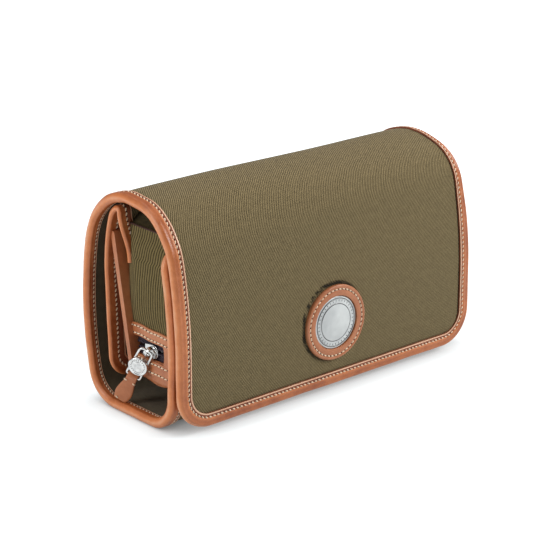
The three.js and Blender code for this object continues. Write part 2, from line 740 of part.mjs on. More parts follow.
// A row of teeth on a spine, built of cells in (arc length, height) with one thickness
function toothRow(side) {
  const slitFrom = pouchPlan.piece('left').start - TOOTH_PITCH;
  const shift = side > 0 ? 0 : TOOTH_PITCH / 2;
  const count = Math.floor((zipEnd - zipStart - shift - TOOTH_WIDTH) / TOOTH_PITCH);
  const marks = [zipStart];
  const tips = [];
  for (let i = 0; i < count; i++) {
    const middle = zipStart + shift + TOOTH_PITCH * (i + 1 / 2);
    marks.push(middle - TOOTH_WIDTH / 2, middle + TOOTH_WIDTH / 2);
    tips.push(null, middle > slitFrom ? SLIT / 2 : -TOOTH_REACH);
  }
  marks.push(zipEnd);
  tips.push(null);
  const points = [];
  const seen = new Map();
  const vertex = (s, v, layer) => {
    const key = `${s}:${v}:${layer}`;
    if (!seen.has(key)) {
      seen.set(key, points.length);
      points.push(onPlan(s, chainDepth + (layer - 1 / 2) * TOOTH_THICKNESS, ZIP_HEIGHT + side * v));
    }
    return seen.get(key);
  };
  const faces = [];
  const quad = (a, b, c, d) => faces.push([a, b, c], [a, c, d]);
  tips.forEach((tip, i) => {
    const [low, high] = [marks[i], marks[i + 1]];
    const corners = (s0, v0, s1, v1, layer) => [
      vertex(s0, v0, layer), vertex(s1, v0, layer), vertex(s1, v1, layer), vertex(s0, v1, layer)];
    const bands = tip === null ? [[TOOTH_ROOT, rowTop]] : [[tip, TOOTH_ROOT], [TOOTH_ROOT, rowTop]];
    for (const [from, to] of bands) {
      quad(...corners(low, from, high, to, 0));
      quad(...corners(low, from, high, to, 1).reverse());
    }
    const foot = bands[0][0];
    quad(vertex(low, foot, 0), vertex(low, foot, 1), vertex(high, foot, 1), vertex(high, foot, 0));
    quad(vertex(high, rowTop, 0), vertex(high, rowTop, 1), vertex(low, rowTop, 1), vertex(low, rowTop, 0));
    const wall = (s, v0, v1, turn) => {
      const ring = [vertex(s, v0, 0), vertex(s, v1, 0), vertex(s, v1, 1), vertex(s, v0, 1)];
      quad(...(turn ? ring.reverse() : ring));
    };
    if (tip !== null) {
      wall(low, tip, TOOTH_ROOT, false);
      wall(high, tip, TOOTH_ROOT, true);
    }
    if (i === 0) wall(low, TOOTH_ROOT, rowTop, false);
    if (i === tips.length - 1) wall(high, TOOTH_ROOT, rowTop, true);
  });
  return geometryOf(points, faces);
}
add('zip_teeth_upper', toothRow(1), PLUM, 0.5);
add('zip_teeth_lower', toothRow(-1), PLUM, 0.5);

// Slider on the left end: two wings joined by a post in the slit, with a bridge for the pull
const chainX = -POUCH_LENGTH / 2 + chainDepth;
const wingInner = TOOTH_THICKNESS / 2 + SLIDER_CLEARANCE;
const wingOuter = wingInner + SLIDER_PLATE;
const sliderY = pouchFrontY + TRIM_END_SETBACK + TRIM_END + SLIDER_SETBACK + SLIDER_LENGTH / 2;
const pullDown = new THREE.Vector3(0, Math.sin(degrees(PULL_SLOPE)), -Math.cos(degrees(PULL_SLOPE)));
const outwards = new THREE.Vector3(-1, 0, 0);

function wingShape() {
  const [half, wide, tail] = [SLIDER_LENGTH / 2, SLIDER_WIDTH / 2, SLIDER_TAIL_WIDTH / 2];
  const shape = new THREE.Shape();
  shape.moveTo(-half, 0);
  shape.quadraticCurveTo(-half, wide, -half + wide, wide);
  shape.quadraticCurveTo(0, wide, half, tail);
  shape.lineTo(half, -tail);
  shape.quadraticCurveTo(0, -wide, -half + wide, -wide);
  shape.quadraticCurveTo(-half, -wide, -half, 0);
  return shape;
}

// An arch outline, drawn from its right foot over to its left foot
function archOutline(target, reach, rise, base) {
  target.moveTo(reach, base);
  target.lineTo(reach, rise / 2);
  target.quadraticCurveTo(reach, rise, 0, rise);
  target.quadraticCurveTo(-reach, rise, -reach, rise / 2);
  target.lineTo(-reach, base);
  return target;
}

function bridgeGeometry() {
  const reach = BRIDGE_LENGTH / 2;
  const shape = archOutline(new THREE.Shape(), reach, BRIDGE_HEIGHT, -SLIDER_PLATE / 2);
  shape.holes.push(archOutline(new THREE.Path(), reach - BRIDGE_WALL, BRIDGE_HEIGHT - BRIDGE_WALL, 0));
  const settings = { depth: BRIDGE_WIDTH, bevelEnabled: false, curveSegments: NOSE_STEPS };
  const bridge = new THREE.ExtrudeGeometry(shape, settings).translate(0, 0, -BRIDGE_WIDTH / 2);
  const across = new THREE.Vector3().crossVectors(pullDown, outwards);
  return bridge.applyMatrix4(new THREE.Matrix4().makeBasis(pullDown, outwards, across));
}

const bridgeBase = new THREE.Vector3(chainX - wingOuter, sliderY, ZIP_HEIGHT);

function buildSlider() {
  const outerWing = plateAcrossX(wingShape(), -wingOuter, -wingInner);
  const innerWing = plateAcrossX(wingShape(), wingInner, wingOuter);
  const postHalf = POST_THICKNESS / 2;
  const postFront = -SLIDER_LENGTH / 2 + POST_SETBACK;
  const postReach = wingInner + SLIDER_PLATE / 2;
  const post = boxBetween(
    new THREE.Vector3(-postReach, postFront, -postHalf),
    new THREE.Vector3(postReach, postFront + POST_LENGTH, postHalf));
  let solid = manifoldOf(outerWing).add(manifoldOf(innerWing)).add(manifoldOf(post));
  const flangeTop = SLIDER_TAIL_WIDTH / 2;
  const tapeFace = TAPE / 2 + SLIDER_CLEARANCE;
  for (const side of [-1, 1]) {
    for (const face of [-1, 1]) {
      const [near, far] = [face * tapeFace, face * (wingInner + SLIDER_PLATE / 2)];
      const [low, high] = [side * (flangeTop - SLIDER_FLANGE / 2), side * flangeTop];
      const flange = boxBetween(
        new THREE.Vector3(Math.min(near, far), -SLIDER_LENGTH / 2 + SLIDER_WIDTH / 2, Math.min(low, high)),
        new THREE.Vector3(Math.max(near, far), SLIDER_LENGTH / 2, Math.max(low, high)));
      solid = solid.add(manifoldOf(flange));
    }
  }
  const slider = geometryFrom(solid).translate(chainX, sliderY, ZIP_HEIGHT);
  const bridge = bridgeGeometry().translate(bridgeBase.x, bridgeBase.y, bridgeBase.z);
  metal('zip_slider', geometryFrom(manifoldOf(slider).add(manifoldOf(bridge))));
}
buildSlider();

// The pull hangs in its own frame: X across, Y up to its top bar, Z out of the end face
const pullGroup = new THREE.Group();
const barHeight = BRIDGE_HEIGHT - BRIDGE_WALL - PULL_PLAY - PULL_WIRE / 2;
const pullPivot = bridgeBase.clone().addScaledVector(outwards, barHeight);
const upPull = pullDown.clone().negate();
pullGroup.matrix.makeBasis(new THREE.Vector3().crossVectors(upPull, outwards), upPull, outwards);
pullGroup.matrix.multiply(new THREE.Matrix4().makeRotationX(degrees(-PULL_TILT)));
pullGroup.matrix.setPosition(pullPivot);
pullGroup.matrix.decompose(pullGroup.position, pullGroup.quaternion, pullGroup.scale);
parts.add(pullGroup);

// The frame's outline with its pivot bar's centre at the origin, drawn in by a margin
function pullOutline(target, margin) {
  const top = PULL_WIRE / 2 - margin;
  const crown = PULL_TOP_WIDTH / 2 - margin;
  const foot = PULL_FOOT_WIDTH / 2 - margin;
  const bottom = PULL_WIRE / 2 - PULL_LENGTH + margin;
  const shoulder = PULL_WIRE / 2 - PULL_TOP_WIDTH / 2;
  target.moveTo(0, top);
  target.quadraticCurveTo(-crown, top, -crown, shoulder);
  target.lineTo(-foot, bottom);
  target.lineTo(foot, bottom);
  target.lineTo(crown, shoulder);
  target.quadraticCurveTo(crown, top, 0, top);
  return target;
}

function buildPull() {
  const shape = pullOutline(new THREE.Shape(), 0);
  shape.holes.push(pullOutline(new THREE.Path(), PULL_WIRE));
  const settings = { depth: PULL_WIRE, bevelEnabled: false, curveSegments: NOSE_STEPS + 1 };
  const frame = new THREE.ExtrudeGeometry(shape, settings).translate(0, 0, -PULL_WIRE / 2);
  pullGroup.add(metal('pull_frame', frame));
  const rim = DISC_RADIUS - DISC_RIM;
  const disc = turned([
    [0, 0], [DISC_RADIUS, 0], [DISC_RADIUS, DISC_THICKNESS], [rim, DISC_THICKNESS],
    [rim - DISC_RECESS, DISC_THICKNESS - DISC_RECESS], [rim / 2, DISC_THICKNESS - DISC_RECESS],
    [rim / 2 - DISC_RECESS, DISC_THICKNESS], [0, DISC_THICKNESS],
  ], ROUND_SIDES / 2).rotateX(-Math.PI / 2);
  disc.translate(0, PULL_WIRE / 2 - DISC_FROM_TOP, PULL_WIRE / 2 + SEAT_GAP);
  pullGroup.add(metal('pull_disc', disc));
}
buildPull();

// The leather tab folds round the frame's lower bar and widens to a belly
function buildTab() {
  const barY = PULL_WIRE - PULL_LENGTH;
  const eye = (PULL_WIRE / 2) * Math.SQRT2 + SEAT_GAP;
  const head = eye + TAB_EYE_WALL;
  const side = new THREE.Shape();
  const half = TAB_THICKNESS / 2;
  const meet = Math.asin(half / head);
  side.absarc(0, 0, head, -Math.PI / 2 + meet, (3 * Math.PI) / 2 - meet, false);
  side.lineTo(-half, -TAB_LENGTH);
  side.lineTo(half, -TAB_LENGTH);
  const bore = new THREE.Path().absarc(0, 0, eye, 0, 2 * Math.PI, true);
  side.holes.push(bore);
  const profile = new THREE.ExtrudeGeometry(
    side, { depth: TAB_BELLY_WIDTH, bevelEnabled: false, curveSegments: ARCH_STEPS });
  profile.translate(0, 0, -TAB_BELLY_WIDTH / 2).rotateY(Math.PI / 2);
  const [neck, belly, tip] = [TAB_NECK_WIDTH / 2, TAB_BELLY_WIDTH / 2, TAB_TIP_WIDTH / 2];
  const neckEnd = -head - SEAT_GAP;
  const bellyAt = (neckEnd - TAB_LENGTH) / 2;
  const front = new THREE.Shape();
  front.moveTo(-neck, head);
  front.lineTo(-neck, neckEnd);
  front.quadraticCurveTo(-belly, neckEnd, -belly, bellyAt);
  front.lineTo(-tip, -TAB_LENGTH);
  front.lineTo(tip, -TAB_LENGTH);
  front.lineTo(belly, bellyAt);
  front.quadraticCurveTo(belly, neckEnd, neck, neckEnd);
  front.lineTo(neck, head);
  const outline = new THREE.ExtrudeGeometry(
    front, { depth: 2 * head, bevelEnabled: false, curveSegments: NOSE_STEPS });
  outline.translate(0, 0, -head);
  const tab = geometryFrom(manifoldOf(profile).intersect(manifoldOf(outline)));
  pullGroup.add(leather('pull_tab', tab.translate(0, barY, 0)));
}
buildTab();

// Page: a bound leaf that folds over an apex and is anchored on the pouch's back
const pagePath = new Path(90 - PAGE_LEAN, [
  { name: 'leaf', length: PAGE_STRAIGHT },
  { name: 'crown', radius: PAGE_CROWN_RADIUS, turn: PAGE_CROWN_TURN },
  { name: 'apex', radius: PAGE_APEX_RADIUS, turn: PAGE_APEX_TURN },
  { name: 'anchor', length: PAGE_ANCHOR_STRAIGHT },
]);
const anchorFoot = pagePath.inset(pagePath.length, 0).x;
pagePath.move(new THREE.Vector2(pouchBackY + SEAT_GAP - anchorFoot, PAGE_HEM_HEIGHT));
const S_PAGE_FOLD = pagePath.headingIn('apex', 180);
const onPage = (x, s, depth) => {
  const point = pagePath.inset(s, depth);
  return new THREE.Vector3(x, point.x, point.y);
};
const boundPage = {
  place: onPage,
  path: pagePath,
  half: PAGE_LENGTH / 2,
  layers: [PAGE_CORE],
  skin: PAGE_SKIN,
  nose: PAGE_NOSE_RADIUS,
  noseWall: PAGE_NOSE_WALL,
};
const pageWall = new BoundWall({
  ...boundPage, from: 0, to: S_PAGE_FOLD - FOLD_GAP, corner: PAGE_CORNER_RADIUS, cornerEnd: 'from' });
canvas('page_panel', pageWall.layer(0));
leather('page_binding', pageWall.bindingRound());

function buildAnchor() {
  const half = PAGE_LENGTH / 2;
  const stations = pagePath.stations(S_PAGE_FOLD + FOLD_GAP, pagePath.length);
  const section = [[-half, 0], [half, 0], [half, PAGE_WALL], [-half, PAGE_WALL]];
  leather('page_anchor', sweep(section, stations, (s, x, depth) => onPage(x, s, depth)));
}
buildAnchor();

// Slip pocket: a flat leather piece that leans back from the pouch
function buildPocket() {
  const path = new Path(90 - POCKET_LEAN, [{ name: 'pocket', length: POCKET_DEPTH }]);
  const footY = pouchBackY - trimOuter + SEAT_GAP;
  path.move(new THREE.Vector2(footY, POCKET_FOOT_HEIGHT));
  const half = POCKET_LENGTH / 2;
  const section = [[-half, 0], [half, 0], [half, -POCKET_LEATHER], [-half, -POCKET_LEATHER]];
  leather('slip_pocket', sweep(section, [0, POCKET_DEPTH], (s, x, depth) => {
    const point = path.inset(s, depth);
    return new THREE.Vector3(x, point.x, point.y);
  }));
}
buildPocket();

export default parts;
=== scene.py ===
# %% [markdown]
# A travel organizer for cables: a padded canvas wrap with leather bound edges folds round a
# zipped pouch. The drawing was made first as solids, and this script dresses those solids.
# Loading them fixes the frame, so every cloth and leather piece below is worked out from the
# same lines and arcs, in millimetres, and turned to metres only when its mesh is made.

import math

import bmesh
import bpy
import numpy as np
from mathutils import Matrix, Vector


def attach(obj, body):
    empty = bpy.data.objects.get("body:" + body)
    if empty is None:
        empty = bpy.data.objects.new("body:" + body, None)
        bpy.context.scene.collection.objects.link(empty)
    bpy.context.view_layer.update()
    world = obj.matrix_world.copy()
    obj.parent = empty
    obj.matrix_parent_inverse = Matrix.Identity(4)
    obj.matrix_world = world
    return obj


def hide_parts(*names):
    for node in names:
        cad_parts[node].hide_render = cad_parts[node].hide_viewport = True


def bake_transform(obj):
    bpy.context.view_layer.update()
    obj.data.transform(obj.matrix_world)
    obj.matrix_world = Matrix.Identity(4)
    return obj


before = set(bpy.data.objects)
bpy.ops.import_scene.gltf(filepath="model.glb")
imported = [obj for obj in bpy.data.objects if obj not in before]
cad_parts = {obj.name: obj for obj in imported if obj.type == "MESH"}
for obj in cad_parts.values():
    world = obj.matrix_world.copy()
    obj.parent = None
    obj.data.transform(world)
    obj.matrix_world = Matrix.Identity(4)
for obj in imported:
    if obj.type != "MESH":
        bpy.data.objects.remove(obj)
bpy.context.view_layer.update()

MM = 0.001

# %% [markdown]
# The wall of the wrap is one long strip, so its place in space is a profile of lines and arcs.
# A profile that can be asked for many points at once keeps each later surface a single formula.

# %% A profile of lines and arcs


def arc(name, radius, turn):
    return (name, radius * math.radians(abs(turn)), turn)


class Profile:
    """Lines and arcs laid end to end, its outer side on the right of its heading.
    A piece with bend k goes round by k times the length walked: the point is the start plus
    (sin b - sin a) / k and (cos a - cos b) / k, where a and b are the two headings."""

    def __init__(self, heading, pieces, start=(0.0, 0.0)):
        at, angle, run = start, math.radians(heading), 0.0
        rows = []
        self.index = {}
        for name, length, turn in pieces:
            bend = math.radians(turn) / length if length else 0.0
            self.index[name] = len(rows)
            rows.append((run, at[0], at[1], angle, bend))
            at = self._walk(at[0], at[1], angle, bend, length)
            angle += bend * length
            run += length
        self.rows = np.array(rows, float)
        self.length = run

    @staticmethod
    def _walk(x, y, angle, bend, along):
        turned = angle + bend * along
        safe = np.where(np.abs(bend) < 1e-12, 1.0, bend)
        straight = np.abs(bend) < 1e-12
        dx = np.where(straight, np.cos(angle) * along, (np.sin(turned) - np.sin(angle)) / safe)
        dy = np.where(straight, np.sin(angle) * along, (np.cos(angle) - np.cos(turned)) / safe)
        return x + dx, y + dy

    def start_of(self, name):
        return self.rows[self.index[name], 1:3]

    def run_of(self, name):
        return self.rows[self.index[name], 0]

    def move(self, dx, dy):
        self.rows[:, 1] += dx
        self.rows[:, 2] += dy

    def inset(self, s, depth):
        """The point at arc length s, moved from the outer face inwards by depth."""
        s, depth = np.broadcast_arrays(np.asarray(s, float), np.asarray(depth, float))
        found = np.clip(np.searchsorted(self.rows[:, 0], s, side="right") - 1, 0, None)
        run, x, y, angle, bend = np.moveaxis(self.rows[found], -1, 0)
        px, py = self._walk(x, y, angle, bend, s - run)
        turned = angle + bend * (s - run)
        return px - np.sin(turned) * depth, py + np.cos(turned) * depth

    def run_at_heading(self, name, heading):
        """Arc length in the named bend where the profile has that heading, in degrees."""
        run, _, _, angle, bend = self.rows[self.index[name]]
        return run + (math.radians(heading) - angle) / bend


# %% [markdown]
# The wrap starts at the top edge of the hidden front panel, goes down and under, up the back,
# over the lid and down the flap. Its straight stretches follow from the bends, because the
# flap has to nest over the front panel with a small gap.

# %% The profile of the wrap
HALF = 120.8
WALL, LINING_FACE = 6.0, 4.85
NESTING = WALL + 2.4
FLAP_FLOOR_GAP = 3.5
FLAP_CORNER, FRONT_CORNER = 23.0, 13.0
LEAN_RADIUS, TOE_RADIUS = 300, 22
BENDS = [arc("heel", 24.1, 78), arc("back", 200.2, 23.5), arc("shoulder", 56.2, 50.7),
         arc("crest_back", 20, 39.7), arc("crest_top", 151.7, 9.2), arc("crest_front", 31.7, 57)]
LEAN = 270.0 - sum(bend[2] for bend in BENDS)


def wrap_profile(front_straight, bottom_flat, flap_straight):
    front = [("front_tip", 5.0, 0), arc("front_lean", LEAN_RADIUS - NESTING, LEAN),
             ("front_wall", front_straight, 0), arc("toe", TOE_RADIUS, 90)]
    flap = [arc("flap_lean", LEAN_RADIUS, LEAN), ("flap_wall", flap_straight, 0)]
    return Profile(-90 - LEAN, [*front, ("bottom", bottom_flat, 0), *BENDS, *flap])


bare = wrap_profile(0.0, 0.0, 0.0)
lean_height = bare.start_of("flap_wall")[1] - bare.start_of("bottom")[1]
bottom_flat = bare.start_of("toe")[0] - NESTING - bare.start_of("flap_wall")[0]
wrap = wrap_profile(lean_height - TOE_RADIUS, bottom_flat, lean_height - FLAP_FLOOR_GAP)
BADGE_PROUD = 2.2 + 0.3 - 1.15
back_most = wrap.inset(wrap.run_at_heading("back", 90), 0)[0]
front_most = wrap.start_of("flap_wall")[0] - BADGE_PROUD
wrap.move(-(back_most + front_most) / 2, -wrap.start_of("bottom")[1])

S_TOE = wrap.run_at_heading("toe", -45)
S_TOP = wrap.run_at_heading("shoulder", 135)
S_FLAP = wrap.run_at_heading("crest_front", 225)
S_UNDER_SEAM = wrap.run_of("heel")
S_LID_SEAM = wrap.run_of("crest_back") + 8
S_END = wrap.length
print("wrap runs", round(S_END, 2), "mm, folds at", round(S_TOE, 2), round(S_TOP, 2), round(S_FLAP, 2))


def ease(share):
    """A smooth step from 0 to 1."""
    share = np.clip(share, 0, 1)
    return share * share * (3 - 2 * share)


def hill(s, middle, reach):
    return np.exp(-(((s - middle) / reach) ** 2))


CREST, ARCH, PANEL_LEANS_TO = 335, 362, 100


def settle(x, s):
    """How far the soft wall lies inside its drawn line, in mm. The lid's crest sinks, more to
    the right. The arch in front of it swells, and the front panel leans out towards the flap."""
    left = 1.6 * hill(s, CREST, 9) - 1.9 * hill(s, ARCH, 10) + 0.8 * hill(s, ARCH + 26, 9)
    right = 3.3 * hill(s, CREST, 14) - 0.6 * hill(s, ARCH + 19, 16)
    share = ease((x + 60) / 120)
    shared = 0.9 * hill(s, CREST - 33, 16) + 1.1 * ease((PANEL_LEANS_TO - s) / 30)
    return left + (right - left) * share - shared


def on_wrap(x, s, depth):
    """A point of the wall. Its right end droops and is tucked in where it goes over the crest."""
    droop = 1.1 * ease((x - 112) / 8) * hill(s, CREST + 10, 36)
    y, z = wrap.inset(s, depth + settle(x, s) + droop)
    tucked = x - 0.4 * np.clip(x - 111, 0, None) * hill(s, ARCH, 46)
    return np.stack(np.broadcast_arrays(tucked, y, z), -1)


# %% [markdown]
# Each surface is a grid of points, so one helper turns a grid into quads, closes it where it
# meets itself, and puts a cap on an open end. Colour patterns that follow the cloth need the
# flat coordinates too, and those go into a UV map, 100 mm to one unit.

# %% Mesh helpers
def grid_quads(rows, columns, wrap_rows=False, wrap_columns=False, first=0):
    r = np.arange(rows if wrap_rows else rows - 1)
    c = np.arange(columns if wrap_columns else columns - 1)
    r, c = np.meshgrid(r, c, indexing="ij")
    r2, c2 = (r + 1) % rows, (c + 1) % columns
    quads = np.stack([r * columns + c, r * columns + c2, r2 * columns + c2, r2 * columns + c], -1)
    return quads.reshape(-1, 4) + first


def unit(vectors):
    return vectors / np.linalg.norm(vectors, axis=-1, keepdims=True)


def circle(count):
    """Cosines and sines of angles spread evenly round a circle."""
    angle = np.linspace(0, 2 * np.pi, count, endpoint=False)
    return np.cos(angle), np.sin(angle)


def walked(points):
    """How far along a line of points each of them lies."""
    return np.concatenate([[0], np.cumsum(np.linalg.norm(np.diff(points, axis=0), axis=-1))])


def stacked(*parts):
    """Coordinates of any shapes that fit each other, put together as the last axis."""
    return np.stack(np.broadcast_arrays(*parts), -1)


def place_object(name, data):
    made = bpy.data.objects.new(name, data)
    bpy.context.scene.collection.objects.link(made)
    return made


def rework(mesh, *steps):
    """Open a mesh for editing, run each step on it and write it back."""
    work = bmesh.new()
    work.from_mesh(mesh)
    for step in steps:
        step(work)
    work.to_mesh(mesh)
    work.free()


def face_outwards(work):
    bmesh.ops.recalc_face_normals(work, faces=work.faces)


def add_layer(mesh, name, values):
    """A UV layer from one pair of millimetres for each vertex."""
    corner = np.empty(len(mesh.loops), np.int32)
    mesh.loops.foreach_get("vertex_index", corner)
    layer = mesh.uv_layers.new(name=name)
    layer.data.foreach_set("uv", (np.asarray(values, float).reshape(-1, 2)[corner] / 100).ravel())


def smooth(mesh, sharp):
    """Smooth shading, with edges sharper than the angle kept crisp."""
    mesh.shade_smooth()
    mesh.set_sharp_from_angle(angle=math.radians(sharp))


def piece(name, points, faces, uv=None, edge=None, sharp=40, outward=True):
    """A mesh object from points in millimetres. uv is the flat cloth in mm, and edge the
    distance in mm from a seam, beside which the cloth gets painted shade; a binding puts its
    tone of painted highlight and shade there instead."""
    points = np.asarray(points, float).reshape(-1, 3)
    mesh = bpy.data.meshes.new(name)
    mesh.from_pydata((points * MM).tolist(), [], [list(map(int, face)) for face in faces])
    if uv is not None:
        add_layer(mesh, "Cloth", uv)
    if edge is not None:
        away = np.asarray(edge, float).ravel()
        add_layer(mesh, "Edge", stacked(away, 0 * away))
    if outward:
        rework(mesh, face_outwards)
    smooth(mesh, sharp)
    return place_object(name, mesh)


def swept(name, rings, uv=None, edge=None, closed=False):
    """A closed section carried along a path: rings is stations by section points by xyz."""
    count, size = rings.shape[:2]
    faces = grid_quads(count, size, wrap_rows=closed, wrap_columns=True).tolist()
    if not closed:
        faces += [list(range(size)), list(range((count - 1) * size, count * size))]
    return piece(name, rings, faces, uv=uv, edge=edge)


def lathe(profile, sides):
    """Each (radius, height) of the profile taken round the third axis."""
    radius, height = np.array(profile, float).T
    cos, sin = circle(sides)
    return stacked(np.outer(cos, radius), np.outer(sin, radius), height)


def turned_about(name, profile, centre, closed=False):
    """Lathe work on an axis along -y through centre. A closed profile makes a ring, and an open
    one is capped at both ends."""
    sides = 96
    rings = lathe(profile, sides)[..., [0, 2, 1]] * [1, -1, 1] + np.array(centre)
    size = len(profile)
    faces = grid_quads(sides, size, wrap_rows=True, wrap_columns=closed).tolist()
    if not closed:
        faces += [[i * size + end for i in range(sides)] for end in (0, size - 1)]
    return piece(name, rings, faces, sharp=30)


# %% [markdown]
# A finish that several pieces share is a node group: the pores of leather, the ribs of the
# twill and a plain weave. Each gives a height for the bump and a tone for the colour, and the
# shader itself stays in the material.


# %% Helpers for node groups
def set_inputs(tree, node, inputs):
    """Each input is given a link, where its value is another node's socket, or a value."""
    for label, value in inputs.items():
        if isinstance(value, bpy.types.NodeSocket):
            tree.links.new(value, node.inputs[label])
        else:
            node.inputs[label].default_value = value


def add_node(tree, kind, inputs, **options):
    node = tree.nodes.new(f"ShaderNode{kind}")
    for option, value in options.items():
        setattr(node, option, value)
    set_inputs(tree, node, inputs)
    return node


def maths(tree, operation, *values, clamp=False):
    inputs = dict(enumerate(values))
    return add_node(tree, "Math", inputs, operation=operation, use_clamp=clamp).outputs[0]


def weighted(tree, *terms, plus=None):
    """A sum of values, each times its weight."""
    total = None
    for value, weight in terms:
        term = maths(tree, "MULTIPLY", value, weight)
        total = term if total is None else maths(tree, "ADD", total, term)
    return total if plus is None else maths(tree, "ADD", total, plus)


def noise(tree, vector, scale, detail=2.0, roughness=0.5):
    inputs = {"Vector": vector, "Scale": scale, "Detail": detail, "Roughness": roughness}
    return add_node(tree, "TexNoise", inputs).outputs[0]


def split(tree, vector):
    return add_node(tree, "SeparateXYZ", {0: vector}).outputs


def new_group(name, numbers, build):
    """A node group that takes a vector and some numbers and gives a height and a tone."""
    tree = bpy.data.node_groups.new(name, "ShaderNodeTree")
    tree.interface.new_socket(name="Vector", in_out="INPUT", socket_type="NodeSocketVector")
    for label, value in numbers.items():
        socket = tree.interface.new_socket(name=label, in_out="INPUT", socket_type="NodeSocketFloat")
        socket.default_value = value
    for label in ("Height", "Tone"):
        tree.interface.new_socket(name=label, in_out="OUTPUT", socket_type="NodeSocketFloat")
    given, out = tree.nodes.new("NodeGroupInput"), tree.nodes.new("NodeGroupOutput")
    for label, value in zip(("Height", "Tone"), build(tree, given.outputs)):
        tree.links.new(value, out.inputs[label])
    return tree


# %% Leather grain: fine creases between small cells, with pores and slow patches of tone
def build_grain(tree, given):
    vector = given["Vector"]
    inputs = {"Vector": vector, "Scale": given["Scale"]}
    cells = add_node(tree, "TexVoronoi", inputs, feature="DISTANCE_TO_EDGE")
    crease = maths(tree, "MULTIPLY", cells.outputs["Distance"], 4.0, clamp=True)
    pores = noise(tree, vector, 2600.0, 3.0)
    slow = noise(tree, vector, 38.0, 3.0, 0.55)
    mid = noise(tree, vector, 210.0, 3.0, 0.6)
    return weighted(tree, (crease, 0.6), (pores, 0.5)), weighted(tree, (slow, 0.65), (mid, 0.35))


# %% Twill: a sine across the ribs, cut into yarns by a second sine along them
def build_twill(tree, given):
    vector = given["Vector"]
    u, v = split(tree, vector)[:2]
    a, b = given["Across X"], given["Across Y"]
    wobble = maths(tree, "MULTIPLY", noise(tree, vector, 9.0), 0.012)
    across = weighted(tree, (u, a), (v, b), plus=wobble)
    along = maths(tree, "SUBTRACT", maths(tree, "MULTIPLY", v, a), maths(tree, "MULTIPLY", u, b))
    ribs = maths(tree, "SINE", maths(tree, "MULTIPLY", across, given["Ribs"]))
    stepped = maths(tree, "ADD", along, maths(tree, "MULTIPLY", across, 2.0))
    yarns = maths(tree, "SINE", maths(tree, "MULTIPLY", stepped, 430.0))
    height = weighted(tree, (ribs, 0.46), (yarns, 0.24), plus=0.5)
    slub = noise(tree, vector, 26.0, 4.0, 0.65)
    speck = noise(tree, vector, 120.0, 3.0, 0.7)
    return height, weighted(tree, (height, 0.48), (slub, 0.2), (speck, 0.32))


# %% Plain weave: threads that pass over and under, the product of two sines
def build_weave(tree, given):
    warp, weft = [maths(tree, "SINE", maths(tree, "MULTIPLY", part, given["Threads"]))
                  for part in split(tree, given["Vector"])[:2]]
    height = weighted(tree, (maths(tree, "MULTIPLY", warp, weft), 0.5), plus=0.5)
    slow = noise(tree, given["Vector"], 22.0, 3.0)
    return height, weighted(tree, (height, 0.5), (slow, 0.5))


grain = new_group("Leather grain", {"Scale": 700.0}, build_grain)
twill = new_group("Twill ribs", {"Across X": 0.87, "Across Y": 0.5, "Ribs": 370.0}, build_twill)
weave = new_group("Plain weave", {"Threads": 600.0}, build_weave)


# %% Helpers for materials
def srgb(red, green, blue):
    """A colour as the eye reads it, 0 to 255, turned to the linear values a shader wants."""
    share = np.array([red, green, blue]) / 255
    linear = np.where(share <= 0.04045, share / 12.92, ((share + 0.055) / 1.055) ** 2.4)
    return (*linear, 1.0)


def material(name, roughness=0.5, metallic=0.0, specular=0.5, sheen=0.0, coat=0.0):
    made = bpy.data.materials.new(name)
    made.use_nodes = True
    shader = made.node_tree.nodes["Principled BSDF"]
    set_inputs(made.node_tree, shader, {
        "Roughness": roughness, "Metallic": metallic, "Specular IOR Level": specular,
        "Sheen Weight": sheen, "Sheen Roughness": 0.5, "Coat Weight": coat, "Coat Roughness": 0.3,
    })
    return made, made.node_tree, shader


def place_group(tree, group, vector, values):
    """The height and the tone of a node group at a place."""
    node = add_node(tree, "Group", {"Vector": vector, **values}, node_tree=group)
    return node.outputs["Height"], node.outputs["Tone"]


def tint(tree, shader, factor, stops):
    """Colour the base through a ramp of (place, colour) stops."""
    ramp = add_node(tree, "ValToRGB", {0: factor})
    while len(ramp.color_ramp.elements) < len(stops):
        ramp.color_ramp.elements.new(0.5)
    for element, (place, colour) in zip(ramp.color_ramp.elements, stops):
        element.position = place
        element.color = colour
    tree.links.new(ramp.outputs[0], shader.inputs["Base Color"])


def raise_bump(tree, shader, height, strength, distance):
    inputs = {"Height": height, "Strength": strength, "Distance": distance}
    bump = add_node(tree, "Bump", inputs)
    tree.links.new(bump.outputs[0], shader.inputs["Normal"])


def vary_roughness(tree, shader, factor, low, high):
    spread = add_node(tree, "MapRange", {"Value": factor, "To Min": low, "To Max": high})
    tree.links.new(spread.outputs[0], shader.inputs["Roughness"])


def object_place(tree):
    return add_node(tree, "TexCoord", {}).outputs["Object"]


def cloth_place(tree, layer="Cloth"):
    return add_node(tree, "UVMap", {}, uv_map=layer).outputs[0]


def edge_value(tree):
    """What the Edge layer holds at a place, 100 mm to a unit."""
    return split(tree, cloth_place(tree, "Edge"))[0]


# Painted shade: the cloth darkens within SEAM_REACH of a seam, by up to SEAM_DEPTH of its tone.
SEAM_REACH, SEAM_DEPTH = 0.011, 0.75


def painted_seam_shade(tree, tone):
    """The tone, darkened as painted shade near a seam; the Edge layer holds the distance from it."""
    away = maths(tree, "DIVIDE", edge_value(tree), SEAM_REACH)
    near = maths(tree, "SUBTRACT", 1.0, away, clamp=True)
    return maths(tree, "SUBTRACT", tone, maths(tree, "MULTIPLY", near, SEAM_DEPTH), clamp=True)
